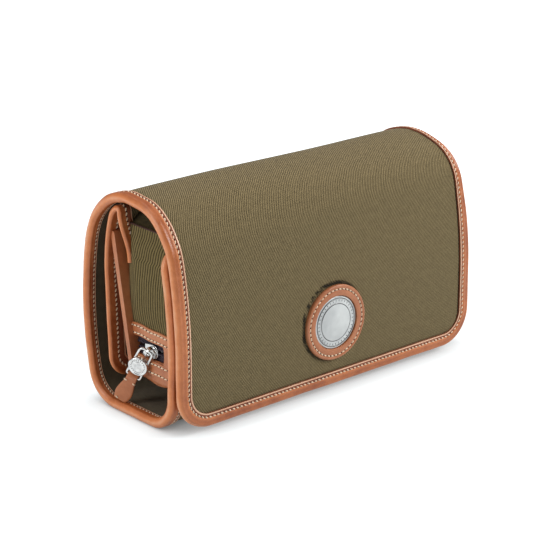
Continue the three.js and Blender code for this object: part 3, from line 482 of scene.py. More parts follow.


# %% [markdown]
# Four leathers come from one recipe: the smooth binding, the flatter trim, the dark leather of
# the cut edges and a pale rim whose colour is a painted highlight; the binding's tone also
# carries painted highlight and painted shade. The canvas has steep ribs on the wrap and upright
# ones on the pouch, so the direction across the ribs is a value of the material.

# %% Leathers and cloths
def make_leather(name, dark, light, roughness, bump, painted_light=False):
    """With painted light, the tone also reads the Edge layer: painted highlight on the nose, painted
    shade in the dip.
    """
    made, tree, shader = material(name, roughness=roughness, specular=0.45, coat=0.12)
    height, tone = place_group(tree, grain, object_place(tree), {"Scale": 620.0})
    stops = [(0.28, srgb(*dark)), (0.72, srgb(*light))]
    if painted_light:
        # Painted light: the Edge layer's tone is added, and the ramp's darkest and palest stops are
        # painted shade and painted highlight.
        painted_tone = maths(tree, "ADD", tone, edge_value(tree), clamp=True)
        tint(tree, shader, painted_tone, [(0.0, srgb(96, 42, 18)), *stops, (1.0, srgb(226, 164, 122))])
    else:
        tint(tree, shader, tone, stops)
    vary_roughness(tree, shader, tone, roughness - 0.09, roughness + 0.12)
    raise_bump(tree, shader, height, bump, 0.00025)
    return made


def make_canvas(name, dark, light, across, ribs, specular=0.25):
    made, tree, shader = material(name, roughness=0.88, specular=specular, sheen=0.05)
    values = {"Across X": across[0], "Across Y": across[1], "Ribs": ribs}
    height, tone = place_group(tree, twill, cloth_place(tree), values)
    dark = srgb(*dark)
    # The shadow colour at the bottom of the ramp, where the painted shade beside seams pushes the tone.
    shadow_colour = tuple(0.3 * value for value in dark[:3]) + (1.0,)
    tint(tree, shader, painted_seam_shade(tree, tone), [(0.0, shadow_colour), (0.22, dark), (0.8, srgb(*light))])
    raise_bump(tree, shader, height, 0.5, 0.0004)
    return made


def make_woven(name, dark, light, threads):
    made, tree, shader = material(name, roughness=0.85, specular=0.25, sheen=0.08)
    height, tone = place_group(tree, weave, cloth_place(tree), {"Threads": threads})
    tint(tree, shader, tone, [(0.2, srgb(*dark)), (0.8, srgb(*light))])
    raise_bump(tree, shader, height, 0.5, 0.0003)
    return made


binding_leather = make_leather("Tan binding leather", (160, 82, 38), (216, 130, 76), 0.37, 0.25, True)
trim_leather = make_leather("Tan trim leather", (164, 92, 52), (202, 130, 86), 0.4, 0.3)
cut_leather = make_leather("Cut leather edge", (112, 52, 26), (150, 80, 46), 0.6, 0.3)
# The rim leather's pale colour is a painted highlight on the binding's lip.
rim_highlight_leather = make_leather("Leather rim, painted highlight", (224, 164, 126), (244, 200, 168), 0.4, 0.2)
canvas_wrap = make_canvas("Olive twill", (50, 40, 17), (156, 137, 97), (0.866, 0.5), 520.0)
canvas_pouch = make_canvas("Olive ribbed canvas", (32, 26, 10), (140, 122, 80), (1.0, 0.0), 290.0, 0.08)
lining_cloth = make_woven("Dark olive lining", (76, 68, 52), (108, 96, 74), 560.0)
zip_cloth = make_woven("Plum zip tape", (40, 32, 42), (62, 52, 62), 900.0)
elastic_cloth = make_woven("Black elastic", (24, 24, 24), (42, 42, 42), 800.0)


# %% Thread, needle holes, zip coil and metals
def make_thread():
    made, tree, shader = material("Cream thread", roughness=0.6, specular=0.3, sheen=0.2)
    tone = noise(tree, object_place(tree), 1800.0)
    tint(tree, shader, tone, [(0.3, srgb(228, 196, 160)), (0.7, srgb(252, 232, 204))])
    raise_bump(tree, shader, tone, 0.4, 0.0002)
    return made


def make_plain(name, dark, light, scale, roughness, metallic=0.0, bump=0.15):
    made, tree, shader = material(name, roughness=roughness, metallic=metallic)
    tone = noise(tree, object_place(tree), scale, 3.0)
    tint(tree, shader, tone, [(0.3, srgb(*dark)), (0.7, srgb(*light))])
    vary_roughness(tree, shader, tone, max(roughness - 0.06, 0.04), roughness + 0.08)
    raise_bump(tree, shader, tone, bump, 0.0001)
    return made


thread = make_thread()
needle_hole = make_plain("Needle holes", (44, 16, 8), (66, 28, 14), 900.0, 0.8)
engraved = make_plain("Engraved lines", (70, 70, 72), (96, 96, 98), 900.0, 0.6)
zip_nylon = make_plain("Plum zip teeth", (52, 42, 54), (80, 68, 80), 1500.0, 0.32)
nickel = make_plain("Polished nickel", (196, 196, 196), (226, 226, 224), 420.0, 0.14, 1.0, 0.1)
badge_metal = make_plain("Satin badge metal", (168, 168, 168), (206, 206, 204), 60.0, 0.36, 1.0, 0.02)
magnet_steel = make_plain("Magnet plating", (70, 70, 70), (90, 90, 90), 500.0, 0.4, 1.0)


def dress(made, finish):
    made.data.materials.clear()
    made.data.materials.append(finish)
    return made


# %% [markdown]
# The wrap bends at three folds when it is laid open. A piece that crosses a fold has to turn
# over a stretch of cloth; for each fold the two bodies beside it and two points, a reach to
# either side of its pivot, are listed, and no piece crosses more than one fold: they meet under
# the heel and behind the lid's crest.


# %% The folds' points, and pieces baked in place
def fold_points(profile, s, reach, depth):
    """Two points along the profile at a fold, in metres, reach mm to either side of it."""
    at, ahead, behind = [np.array([0.0, *profile.inset(run, depth)]) for run in (s, s + 0.5, s - 0.5)]
    step = unit(ahead - behind) * reach
    return tuple((at - step) * MM), tuple((at + step) * MM)


FOLDS = {
    "toe": ("front_panel", "shell", *fold_points(wrap, S_TOE, 9, 3)),
    "top": ("shell", "top_panel", *fold_points(wrap, S_TOP, 14, 3)),
    "flap": ("top_panel", "flap", *fold_points(wrap, S_FLAP, 14, 3)),
}


def cross(made):
    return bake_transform(made)


# %% [markdown]
# A padded panel is a slab of two grids, canvas outside and lining inside, that are joined all
# round. Its width at each height follows the rounded corners, and the canvas swells a little
# away from the binding that holds it down.

# %% Padded panels of the wrap
PANEL_MARGIN, BINDING_WIDTH = 3.0, 9.0
ROW_STEP, EDGE_STEP, COLUMNS = 2.4, 1.7, 84
CANVAS_FACE, LINING_BACK, PUFF = 1.45, 4.8, 0.7
BADGE_X, BADGE_Z, BADGE_EDGE = 1.4, 45.0, 24.2
# The centre of a painted shadow round the badge on the flap's canvas, left of and above the badge.
BADGE_SHADE = (BADGE_X - 1.6, S_END + FLAP_FLOOR_GAP - BADGE_Z - 1.2)


def even(low, high, step):
    return np.linspace(low, high, int(abs(high - low) / step) + 1)


def row_runs(low, high, corner, corner_end):
    """Arc lengths of a panel's rows: even steps, and finer ones through the rounded end."""
    if not corner_end:
        return even(low, high, ROW_STEP)
    bend = corner * (1 - np.cos(np.linspace(0, np.pi / 2, 12)))
    if corner_end == "to":
        return np.concatenate([even(low, high - corner, ROW_STEP)[:-1], high - bend[::-1]])
    return np.concatenate([low + bend, even(low + corner, high, ROW_STEP)[1:]])


def panel_edge(s, low, high, half, corner, corner_end):
    """Half the width at s: full, less the circle's sagitta in the rounded end."""
    if not corner_end:
        return np.full_like(s, half)
    into = np.clip(corner - (high - s if corner_end == "to" else s - low), 0, corner)
    return half - corner + np.sqrt(corner**2 - into**2)


def set_finishes(made, finishes, faces):
    """Several finishes on one piece: faces holds the number of each face's finish."""
    made.data.materials.clear()
    for finish in finishes:
        made.data.materials.append(finish)
    made.data.polygons.foreach_set("material_index", np.asarray(faces, np.int32))


def panel(name, place, low, high, half, corner, corner_end, outer, inner, puff):
    low += PANEL_MARGIN if corner_end == "from" else 0
    high -= PANEL_MARGIN if corner_end == "to" else 0
    radius = corner - PANEL_MARGIN if corner_end else 0
    s = row_runs(low, high, radius, corner_end)
    edge = panel_edge(s, low, high, half - PANEL_MARGIN, radius, corner_end)
    share = np.linspace(-1, 1, COLUMNS)
    share = 0.5 * np.sin(np.pi / 2 * share) + 0.5 * share
    x = edge[:, None] * share
    run = np.repeat(s[:, None], COLUMNS, 1)
    inwards = edge[:, None] - np.abs(x)
    if corner_end:
        inwards = np.minimum(inwards, high - run if corner_end == "to" else run - low)
    swell = puff * (1 - np.exp(-np.clip(inwards - 4, 0, None) / 7))
    faces = place(x, run, outer - swell), place(x, run, inner + swell * 0.6)
    first = run.size
    quads = grid_quads(*run.shape)
    index = np.arange(first).reshape(run.shape)
    rim = np.concatenate([index[0, :], index[1:, -1], index[-1, -2::-1], index[-2:0:-1, 0]])
    rim_next = np.roll(rim, -1)
    rim_quads = stacked(rim, rim_next, rim_next + first, rim + first)
    quads_all = np.concatenate([quads, quads[:, ::-1] + first, rim_quads])
    flat = stacked(x, run)
    # Painted shade: the canvas darkens near the binding's lip, and on the flap round the badge as its
    # painted shadow.
    lip = np.abs(inwards - (BINDING_WIDTH - PANEL_MARGIN))
    if name == "flap_padding":
        from_badge = np.hypot(x - BADGE_SHADE[0], run - BADGE_SHADE[1]) - BADGE_EDGE
        lip = np.minimum(lip, np.abs(from_badge) / 1.7)
    made = piece(name, np.stack(faces), quads_all.tolist(), uv=np.stack([flat, flat]),
                 edge=np.stack([lip, lip]), sharp=50)
    shown = np.zeros(len(quads_all), np.int32)
    shown[len(quads) : 2 * len(quads)] = 1
    set_finishes(made, [canvas_wrap, lining_cloth], shown)
    return made


def wrap_padding(name, low, high, corner, corner_end):
    made = panel(f"{name}_padding", on_wrap, low, high, HALF, corner, corner_end, CANVAS_FACE,
                 LINING_BACK, PUFF)
    cross(made)
    print(made.name, len(made.data.polygons), "faces")
    return made


front_pad = wrap_padding("front", 0.0, S_UNDER_SEAM, FRONT_CORNER, "from")
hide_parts("front_canvas", "front_foam", "front_lining")
back_pad = wrap_padding("back", S_UNDER_SEAM, S_LID_SEAM, 0.0, None)
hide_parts("shell_canvas", "shell_foam", "shell_lining")
flap_pad = wrap_padding("flap", S_LID_SEAM, S_END, FLAP_CORNER, "to")
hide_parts("flap_canvas", "flap_foam", "flap_lining",
            "top_canvas", "top_foam", "top_lining")

# %% [markdown]
# The binding is a strip of leather folded round the edge of the wall and sewn through. Its
# section has a full rounded nose, a channel pressed in by the stitches and a cut lip, and it
# is carried along the edge, round the corners, in the flat coordinates of the wrap.


# %% The edge of a panel in its flat coordinates
def edge_run(half, low, high, corner, corner_end, side=None):
    """Stations along an edge as rows of x, s and the direction inwards. Round a corner the
    point is the corner's centre less the radius times that direction."""
    if corner_end is None:
        return stacked(side * half, even(low, high, EDGE_STEP), -side, 0.0)
    sign = 1.0 if corner_end == "to" else -1.0
    end, start = (high, low) if corner_end == "to" else (low, high)
    stop = end - sign * corner
    left = stacked(-half, even(start, stop, EDGE_STEP), 1.0, 0.0)
    angle = np.linspace(0, np.pi / 2, 16)[1:]
    ix, js = np.cos(angle), -sign * np.sin(angle)
    bend = stacked(-half + corner - corner * ix, stop - corner * js, ix, js)
    x = even(-half + corner, 0, EDGE_STEP)[1:]
    one_half = np.concatenate([left, bend, stacked(x, end, 0.0, -sign)])
    return np.concatenate([one_half, one_half[-2::-1] * [-1.0, 1.0, -1.0, 1.0]])


def on_edge(place, stations, u, depth):
    """The point u inwards from the edge and depth below the outer face."""
    x, s, ix, js = np.moveaxis(stations, -1, 0)
    while x.ndim < np.ndim(u):
        x, s, ix, js = x[..., None], s[..., None], ix[..., None], js[..., None]
    return place(x + ix * u, s + js * u, depth + 0 * x)


def binding_section(wall, width, skin, nose, groove, proud, from_lip, inner_share):
    """Half a section from the cut lip over a stitched channel and a shallow dip to the nose,
    then mirrored, with the part beyond the nose shortened on the lining's side."""
    stitch = width - from_lip
    u = [width, width, width - 0.08, width - 0.3, width - 0.9, stitch + 0.6]
    depth = [skin, 0.4, 0.12, 0.0, 0.05, 0.25 * groove]
    u += [stitch + 0.3, stitch, stitch - 0.3, stitch - 0.75, stitch - 1.3]
    depth += [0.8 * groove, groove, 0.8 * groove, 0.2 * groove, -0.5 * proud]
    u += list(np.linspace(stitch - 1.7, nose + 0.5, 3))
    depth += [-0.5 * proud, 0.3 * proud, 0.9 * proud]
    angle = np.linspace(0, np.pi / 2, 10)[1:]
    roll = proud * hill(angle, 0.5, 0.32)
    outer = np.concatenate([stacked(u, depth), stacked(
        nose * (1 - np.sin(angle)), wall / 2 * (1 - np.cos(angle)) ** 0.9 - roll)])
    inner = outer[-2::-1] * [1, -1] + [0, wall]
    inner[:, 0] -= (1 - inner_share) * np.clip(inner[:, 0] - nose, 0, None)
    hollow = np.array([[nose * 0.6, wall - skin], [nose * 0.6, skin]])
    return np.concatenate([outer, inner, hollow]), stitch, nose + inner_share * (stitch - nose)


def slow_waves(t, seed, size):
    """A gentle unevenness along a length: four sines with lengths from 90 to 17 mm."""
    rng = np.random.default_rng(seed)
    lengths = np.array([90.0, 47.0, 29.0, 17.0])
    phase = rng.uniform(0, 2 * np.pi, 4)
    weight = np.array([1.0, 0.8, 0.5, 0.3])
    return size * (weight * np.sin(2 * np.pi * t[:, None] / lengths + phase)).sum(-1) / 2


def painted_nose_light(u, depth, wall, nose):
    """Painted light across a section: a painted highlight along the nose's ridge and by the
    stitches, and painted shade in the dip behind the nose and down both of the nose's flanks."""
    ridge = hill(depth, wall / 2, 0.26 * wall) * hill(u, 0, 0.6 * nose)
    dip = hill(u, nose + 0.6, 1.5)
    inside = ease((u - nose) / 2) * (depth > 0.6 * wall)
    return 0.3 * ridge - 0.13 * dip + 0.08 * hill(u, nose + 2.9, 0.9) - 0.14 * inside


def binding(name, place, stations, wall, width, skin, nose, groove=0.45, proud=0.22, from_lip=2.4,
            inner_share=0.64, seed=1):
    """A binding along the stations, and how far inwards its outer and inner stitches lie."""
    section, stitch, inner = binding_section(wall, width, skin, nose, groove, proud, from_lip,
                                             inner_share)
    t = walked(on_edge(place, stations, 0 * stations[:, 0], 0.0))
    u, depth = np.repeat(section.T[:, None], len(stations), 1)
    near_nose = hill(u, 0, width * 0.45)
    full = 1 + slow_waves(t, seed, 0.05)[:, None] * near_nose
    depth = wall / 2 + (depth - wall / 2) * full
    u = u + slow_waves(t, seed + 7, 0.14)[:, None] * near_nose
    made = swept(name, on_edge(place, stations, u, depth), edge=100 * painted_nose_light(u, depth, wall, nose))
    across, inner_side = section[:, 0], section[:, 1] > 0.6 * wall
    wide = np.where(inner_side, nose + (across - nose) / inner_share, across)
    near, far = np.minimum(wide, np.roll(wide, -1)), np.maximum(wide, np.roll(wide, -1))
    # Faces between the stitches and the rim take the dark cut leather as a darker strip; the rim inside
    # the cut edge takes the pale rim leather, a painted highlight.
    cut = (near > width - 0.1) | ((near > stitch + 0.2) & (far < width - 0.8))
    rim = (near > width - 0.95) & (near <= width - 0.1)
    finish = np.zeros(len(made.data.polygons))
    finish[:-2] = np.tile(np.where(rim, 2, cut), len(stations) - 1)
    set_finishes(made, [binding_leather, cut_leather, rim_highlight_leather], finish)
    return made, stitch, inner


# %% [markdown]
# Stitches are short threads that dip into the leather at both ends, laid at an even pitch along
# the channel, with a dark needle hole between each two. One small thread is worked out and
# all its copies are placed in a single array.


# %% Stitches and needle holes
def along_row(stations, place, u, pitch, start=1.2):
    """Stations at an even pitch along the line u inwards from the edge."""
    run = walked(on_edge(place, stations, np.full(len(stations), float(u)), 0.0))
    marks = np.arange(start, run[-1] - start, pitch)
    picked = stacked(*[np.interp(marks, run, column) for column in stations.T])
    picked[:, 2:] = unit(picked[:, 2:])
    return picked


def frames_on(place, stations, u, depth, inside=False):
    """Centre, direction along, direction across and outward direction at each station."""
    flat = np.full(len(stations), float(u))
    centre = on_edge(place, stations, flat, depth)
    across = unit(on_edge(place, stations, flat + 0.4, depth) - centre)
    out = unit(on_edge(place, stations, flat, depth + (0.4 if inside else -0.4)) - centre)
    return centre, np.cross(out, across), across, out


def thread_shape(length, width, height, rings=6, sides=6):
    """A stitch: an oval tube whose radius falls at its ends, bowed down into the holes."""
    t = np.linspace(-1, 1, rings)[:, None]
    cos, sin = circle(sides)
    full = np.sqrt(np.clip(1 - 0.86 * t**4, 0, 1))
    up = height / 2 * sin * full + height * 0.25 - height * 0.55 * t**4
    return stacked(t * length / 2, width / 2 * cos * full, up)


def scatter(name, shape, frames, finish, slant=0.0):
    """A copy of the shape in every frame, turned by the slant in degrees, as one piece."""
    centre, along, across, out = frames
    lean = math.radians(slant)
    a = along * math.cos(lean) + across * math.sin(lean)
    basis = np.stack([a, np.cross(out, a), out], -1)
    rings, sides = shape.shape[:2]
    points = centre[:, None, :] + np.einsum("nij,kj->nki", basis, shape.reshape(-1, 3))
    size = rings * sides
    offsets = np.arange(len(centre)) * size
    quads = grid_quads(rings, sides, wrap_columns=True)
    body = (quads[None, :, :] + offsets[:, None, None]).reshape(-1, 4).tolist()
    ring = np.arange(sides)
    caps = np.concatenate([offsets[:, None] + ring, offsets[:, None] + size - 1 - ring])
    made = piece(name, points, body + caps.tolist(), sharp=80)
    return dress(made, finish)


SEW_PITCH, TRIM_PITCH = 3.0, 3.2
STITCH = thread_shape(2.55, 1.0, 0.85)
HOLE = thread_shape(1.1, 1.1, 0.24, rings=4)


def framed(centre, along, out):
    return centre, along, np.cross(out, along), out


def sewn_row(name, at_stitches, at_holes, slant, stitch=STITCH):
    """A row of stitches and the holes between them, as two pieces."""
    return [scatter(f"{name}_stitches", stitch, at_stitches, thread, slant),
            scatter(f"{name}_holes", HOLE, at_holes, needle_hole)]


def sew(name, place, stations, u, depth, inside=False):
    row = along_row(stations, place, u, SEW_PITCH)
    gaps = along_row(stations, place, u + 0.25, SEW_PITCH, start=1.2 + SEW_PITCH / 2)
    return sewn_row(name, frames_on(place, row, u, depth, inside),
                    frames_on(place, gaps, u + 0.25, depth - 0.05, inside), 30)


# %% Bind and sew the wrap
NOSE, GROOVE = 2.9, 0.45
LIP_FOOT = 1.6


def bound_edge(name, stations, seed):
    made, stitch, inner = binding(f"{name}_bound_edge", on_wrap, stations, WALL, BINDING_WIDTH,
                                  LIP_FOOT, NOSE, GROOVE, seed=seed)
    sewing = sew(f"{name}_outer", on_wrap, stations, stitch, GROOVE)
    sewing += sew(f"{name}_inner", on_wrap, stations, inner, WALL - GROOVE, inside=True)
    for one in (made, *sewing):
        cross(one)
    return made


front_edge = bound_edge("front", edge_run(HALF, 0, S_UNDER_SEAM, FRONT_CORNER, "from"), 3)
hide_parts("front_binding")
flap_edge = bound_edge("flap", edge_run(HALF, S_LID_SEAM, S_END, FLAP_CORNER, "to"), 11)
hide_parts("flap_binding", "top_binding_left", "top_binding_right")
for side, word in ((-1, "left"), (1, "right")):
    upright_edge = edge_run(HALF, S_UNDER_SEAM, S_LID_SEAM, 0, None, side)
    back_edge = bound_edge(f"back_{word}", upright_edge, 20 + side)
    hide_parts(f"shell_binding_{word}")

# %% [markdown]
# The badge is a washer of thick leather, sewn on, with a shallow metal disc let into it. Both
# are round, so both are lathe work. The disc carries plain engraved rings and nothing else.

# %% Badge
badge_seat = float(wrap.start_of("flap_wall")[0]) + 0.85
BADGE_CENTRE = (BADGE_X, badge_seat, BADGE_Z)
DISC_SEAT, DISC_RADIUS, DISC_CROWN = 0.3, 17.2, 1.55
SEWN_RADIUS, SEWN_COUNT = 21.45, 44
washer_profile = [
    (0, 0.0), (24.1, 0.0), (24.2, 0.5), (24.2, 1.2), (24.0, 1.7), (23.6, 2.05), (23.0, 2.2),
    (22.6, 2.15), (22.1, 1.95), (21.7, 1.78), (21.2, 1.78), (20.8, 1.95), (20.3, 2.15),
    (19.5, 2.22), (17.9, 2.2), (17.4, 2.1), (17.2, 1.85), (17.2, 0.2), (0, 0.2),
]
washer = turned_about("badge_leather_ring", washer_profile, BADGE_CENTRE)
dress(washer, trim_leather)
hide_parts("badge_leather")


def dome(radius):
    """The disc's height, which falls with the square of the radius."""
    return DISC_CROWN - 0.55 * (radius / DISC_RADIUS) ** 2


def disc_profile():
    """The dome with two thin grooves and a soft edge."""
    radius = np.array([17.2, 17.0, 16.8, 16.6, 16.0, 15.5, 15.3, 15.1, 14.9, 14.4, 13.2, 12.7,
                       12.55, 12.4, 12.2, 11.0, 8.0, 5.0, 2.5])
    height = dome(radius)
    height[6:8] -= 0.28
    height[11:14] -= 0.22
    height[:3] = [0.0, 0.75, 0.93]
    return [(0, 0.0), *zip(radius, height), (0, DISC_CROWN)]


disc = turned_about("badge_metal_disc", disc_profile(), (BADGE_X, badge_seat - DISC_SEAT, BADGE_Z))
dress(disc, badge_metal)
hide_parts("badge_disc")


def ring_frames(radius, count, height, phase=0.0):
    angle = np.linspace(0, 2 * np.pi, count, endpoint=False) + phase
    radial = stacked(np.cos(angle), 0.0, np.sin(angle))
    out = np.repeat([[0.0, -1.0, 0.0]], count, 0)
    return radius * radial + BADGE_CENTRE - [0, height, 0], np.cross(out, radial), radial, out


def engraved_line(name, radius):
    """A dark line round the disc, let into its dome."""
    cos, sin = circle(8)
    profile = stacked(radius + 0.24 * cos, DISC_SEAT + dome(radius) + 0.1 * sin)
    return dress(turned_about(name, profile, BADGE_CENTRE, closed=True), engraved)


badge_pieces = [
    washer,
    disc,
    *sewn_row("badge", ring_frames(SEWN_RADIUS, SEWN_COUNT, 1.75),
              ring_frames(SEWN_RADIUS, SEWN_COUNT, 1.78, np.pi / SEWN_COUNT), 9,
              thread_shape(2.3, 0.95, 0.7)),
    scatter("badge_ticks", thread_shape(1.7, 0.5, 0.12, rings=4),
            ring_frames(14.0, 36, DISC_SEAT + dome(14)), engraved, 90),
    engraved_line("badge_line_outer", 15.6),
    engraved_line("badge_line_inner", 12.0),
]
for one in badge_pieces:
    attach(one, "flap")

# %% [markdown]
# The page hangs behind the pouch: a bound leaf that folds over and comes down to where it is
# sewn. It uses the same panel and binding as the wrap, on a profile of its own.

# %% Page
POUCH_FRONT = float(wrap.start_of("front_wall")[0]) + LINING_FACE + 0.3
POUCH_BACK = POUCH_FRONT + 43
PAGE_WALL, PAGE_HALF, PAGE_CORNER, PAGE_GROOVE = 3.6, 118.0, 15, 0.3
page_line = Profile(88, [("leaf", 67.0, 0), arc("crown", 110, 20), arc("brow", 14, 42),
                         arc("apex", 4, 118), ("anchor", 34.0, 0)])
page_line.move(POUCH_BACK + 0.3 - float(page_line.inset(page_line.length, 0)[0]), 17)
FOLDS["page"] = ("page", "front_panel",
                 *fold_points(page_line, page_line.run_at_heading("apex", 180), 5, PAGE_WALL / 2))


def on_page(x, s, depth):
    """The anchored leg narrows by a twentieth on its way down to the seam."""
    narrow = 1 - 0.05 * ease((s - page_line.run_of("anchor")) / 30)
    return stacked(x * narrow, *page_line.inset(s, depth))


page_end = page_line.length - 2
page_pad = panel("page_leaf", on_page, 0, page_end, PAGE_HALF, PAGE_CORNER, "from",
                 0.95, 2.65, 0.15)
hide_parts("page_panel")
page_edge = edge_run(PAGE_HALF, 0, page_end, PAGE_CORNER, "from")
page_bound, page_stitch, page_inner = binding(
    "page_edge_binding", on_page, page_edge, wall=PAGE_WALL, width=9.2, skin=1.1, nose=1.8,
    groove=PAGE_GROOVE, proud=0.12, from_lip=4.2, inner_share=1.3, seed=31)
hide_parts("page_binding", "page_anchor")
page_sewing = [
    *sew("page_rear", on_page, page_edge, page_stitch, PAGE_GROOVE),
    *sew("page_front", on_page, page_edge, page_inner, PAGE_WALL - PAGE_GROOVE, inside=True),
]
for one in (page_pad, page_bound, *page_sewing):
    cross(one)

# %% [markdown]
# The slip pocket is one thick piece of leather that leans back from the pouch. A flat slab
# would look dead, so it bows a little along its height and its edges are rounded.

# %% Slip pocket
POCKET_FOOT, POCKET_TOP, POCKET_HALF, POCKET_THICK = 33.0, 112.4, 115.6, 3.6
POCKET_DEPTH = POCKET_TOP - POCKET_FOOT


def rounded_section(half_width, thickness, rounding=0.5, steps=4):
    """A flat strip's section with rounded edges, as (across, out) pairs."""
    angle = np.linspace(0, np.pi / 2, steps)
    cx, cy = half_width - rounding, thickness / 2 - rounding
    corners = [(cx, -cy, -np.pi / 2), (cx, cy, 0), (-cx, cy, np.pi / 2), (-cx, -cy, np.pi)]
    return np.concatenate([
        stacked(x + rounding * np.cos(angle + turn), y + rounding * np.sin(angle + turn))
        for x, y, turn in corners])


def pocket_point(x, v, out):
    """v up the pocket from its foot: it leans away by a fifth of its height, from a foot tucked
    under the pouch's back, and bows by 1.4 mm half way."""
    y = POUCH_BACK - 4.2 + 0.187 * v + out + 1.4 * np.sin(np.pi * v / POCKET_DEPTH)
    return stacked(x, y, POCKET_FOOT + v)


def on_pocket(x, s, depth):
    return pocket_point(x, s, POCKET_THICK - depth)


pocket_v, pocket_out = rounded_section(POCKET_DEPTH / 2, POCKET_THICK, 1.4).T
pocket_x = np.linspace(-POCKET_HALF, POCKET_HALF, 60)[:, None]
pocket = swept("slip_pocket_leather",
               pocket_point(pocket_x, pocket_v + POCKET_DEPTH / 2, pocket_out + POCKET_THICK / 2))
dress(pocket, trim_leather)
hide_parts("slip_pocket")
pocket_edge = edge_run(POCKET_HALF, 0, POCKET_DEPTH, 3, "to")
for one in (pocket, *sew("pocket", on_pocket, pocket_edge, 2.6, 0.02)):
    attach(one, "front_panel")

# %% [markdown]
# The pouch is a soft box sewn to the front panel. Seen from above its outline runs up one end,
# along the back and down the other end. Each level of its height has that outline, and its front
# edge follows the leaning front panel.

# %% The pouch's outline at each height
POUCH_HALF, POUCH_CORNER, POUCH_WALL = 110.5, 3.5, 1.5
SHOULDER, ROOF = 119.0, 126.0
# ROOF_SHADE is the Edge distance given to the pouch's roof, which darkens its canvas as painted shade.
BACK_SWELL, ROOF_SHADE = 4.4, 0.75
FOLLOWED_TO = 113.0
WINDOW_TOP, WINDOW_FOOT = 49.5, 38.0
TRIM_LOW, TRIM_HIGH = 28.5, 57.5


def front_at(z, depth):
    """Y of the front panel at height z, read off the wrap's profile by interpolation."""
    s = np.linspace(0, wrap.run_of("toe"), 400)
    y, height = wrap.inset(s, depth + settle(0.0, s))
    return float(np.interp(z, height[::-1], y[::-1]))


def back_swell(z):
    """The filled pouch pushes its back wall out, most between the zip and the shoulder."""
    return BACK_SWELL + 1.2 * ease((z - 50) / 20) - 1.2 * ease((z - 105) / 14)


def end_swell(z):
    """How far the pouch's two ends swell above the zip."""
    return 1.8 * np.sin(np.pi * np.clip((z - 55) / (SHOULDER - 55), 0, 1)) ** 0.8


def pouch_rings(levels, swelling=None):
    """Rings of the outline. levels is rows of z, end inset and front y."""
    turn = np.linspace(0, np.pi / 2, 8)[1:-1]
    rings = []
    for z, end, front in levels:
        half = POUCH_HALF - end
        back = POUCH_BACK + back_swell(z)
        mid_x, mid_y = half - POUCH_CORNER, back - POUCH_CORNER
        y = front + (mid_y - front) * np.linspace(0, 1, 22)
        right = stacked(half, y)
        corner = stacked(mid_x + POUCH_CORNER * np.cos(turn), mid_y + POUCH_CORNER * np.sin(turn))
        rear = stacked(np.linspace(mid_x, -mid_x, 70), back)
        plan = np.concatenate([right, corner, rear, corner[::-1] * [-1, 1], right[::-1] * [-1, 1]])
        if swelling is not None:
            reach = swelling(z) * np.clip((y - front) / 6, 0, 1) * np.clip((mid_y - y) / 6, 0, 1)
            plan[: len(y), 0] += reach
            plan[-len(y) :, 0] -= reach[::-1]
        rings.append(stacked(*plan.T, z))
    return np.array(rings)


def close_rings(rings, middle_y, shares):
    """The rings, and copies of the last one that shrink towards its middle line."""
    centre = rings[-1] * [1.0, 0, 1] + [0, middle_y, 0]
    return np.concatenate([rings, [rings[-1] * (1 - share) + centre * share for share in shares]])


def pouch_wall(name, rings, finish, edge=None, turned=False):
    flat = stacked([walked(ring) for ring in rings], rings[..., 2])
    quads = grid_quads(*rings.shape[:2])
    made = piece(name, rings, quads[:, ::-1] if turned else quads, uv=flat, edge=edge, outward=False,
                 sharp=60)
    return dress(made, finish)


def make_roof_front(rings):
    """The roof's front slope: straight lines between the two front ends of each ring."""
    across = np.linspace(0, 1, 90)[None, :, None]
    slope = rings[:, :1] * (1 - across) + rings[:, -1:] * across
    flat = stacked(slope[..., 0], SHOULDER + walked(slope[:, 45])[:, None])
    # The whole slope takes ROOF_SHADE, painted shade on its canvas.
    made = piece("pouch_roof_front", slope, grid_quads(*slope.shape[:2])[:, ::-1], uv=flat,
                 edge=np.full(slope.shape[:2], ROOF_SHADE), outward=False, sharp=60)
    return dress(made, canvas_pouch)


def make_pouch_upper():
    heights = [*np.linspace(WINDOW_TOP, 110, 26), FOLLOWED_TO, 116, 118, SHOULDER]
    levels = [(z, 0.0, front_at(min(z, FOLLOWED_TO), LINING_FACE if z < 100 else WALL) + 0.4)
              for z in heights]
    front = levels[-1][2]
    levels += [(SHOULDER + 0.5, 0.7, front + 0.8), (SHOULDER + 0.1, 1.3, front + 1.4)]
    z, end, front = levels[-1]
    for share in np.linspace(0, 1, 7)[1:]:
        rise = 1 - (1 - share) ** 1.5
        to_front = (POUCH_BACK - 24 - front) * share
        levels.append((z + (ROOF - z) * rise, end + 11 * share, front + to_front))
    rings = close_rings(pouch_rings(levels, end_swell), POUCH_BACK - 12, (0.35, 0.7, 0.97))
    z = rings[..., 2]
    # Painted shade: the roof is darkened all over, and the canvas just above the upper trim near its
    # edge.
    shade = np.where(z > SHOULDER, ROOF_SHADE, np.abs(z - TRIM_HIGH))
    made = pouch_wall("pouch_upper_canvas", rings, canvas_pouch, shade)
    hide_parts("pouch_upper")
    return made, make_roof_front(rings[len(heights) - 1 :])


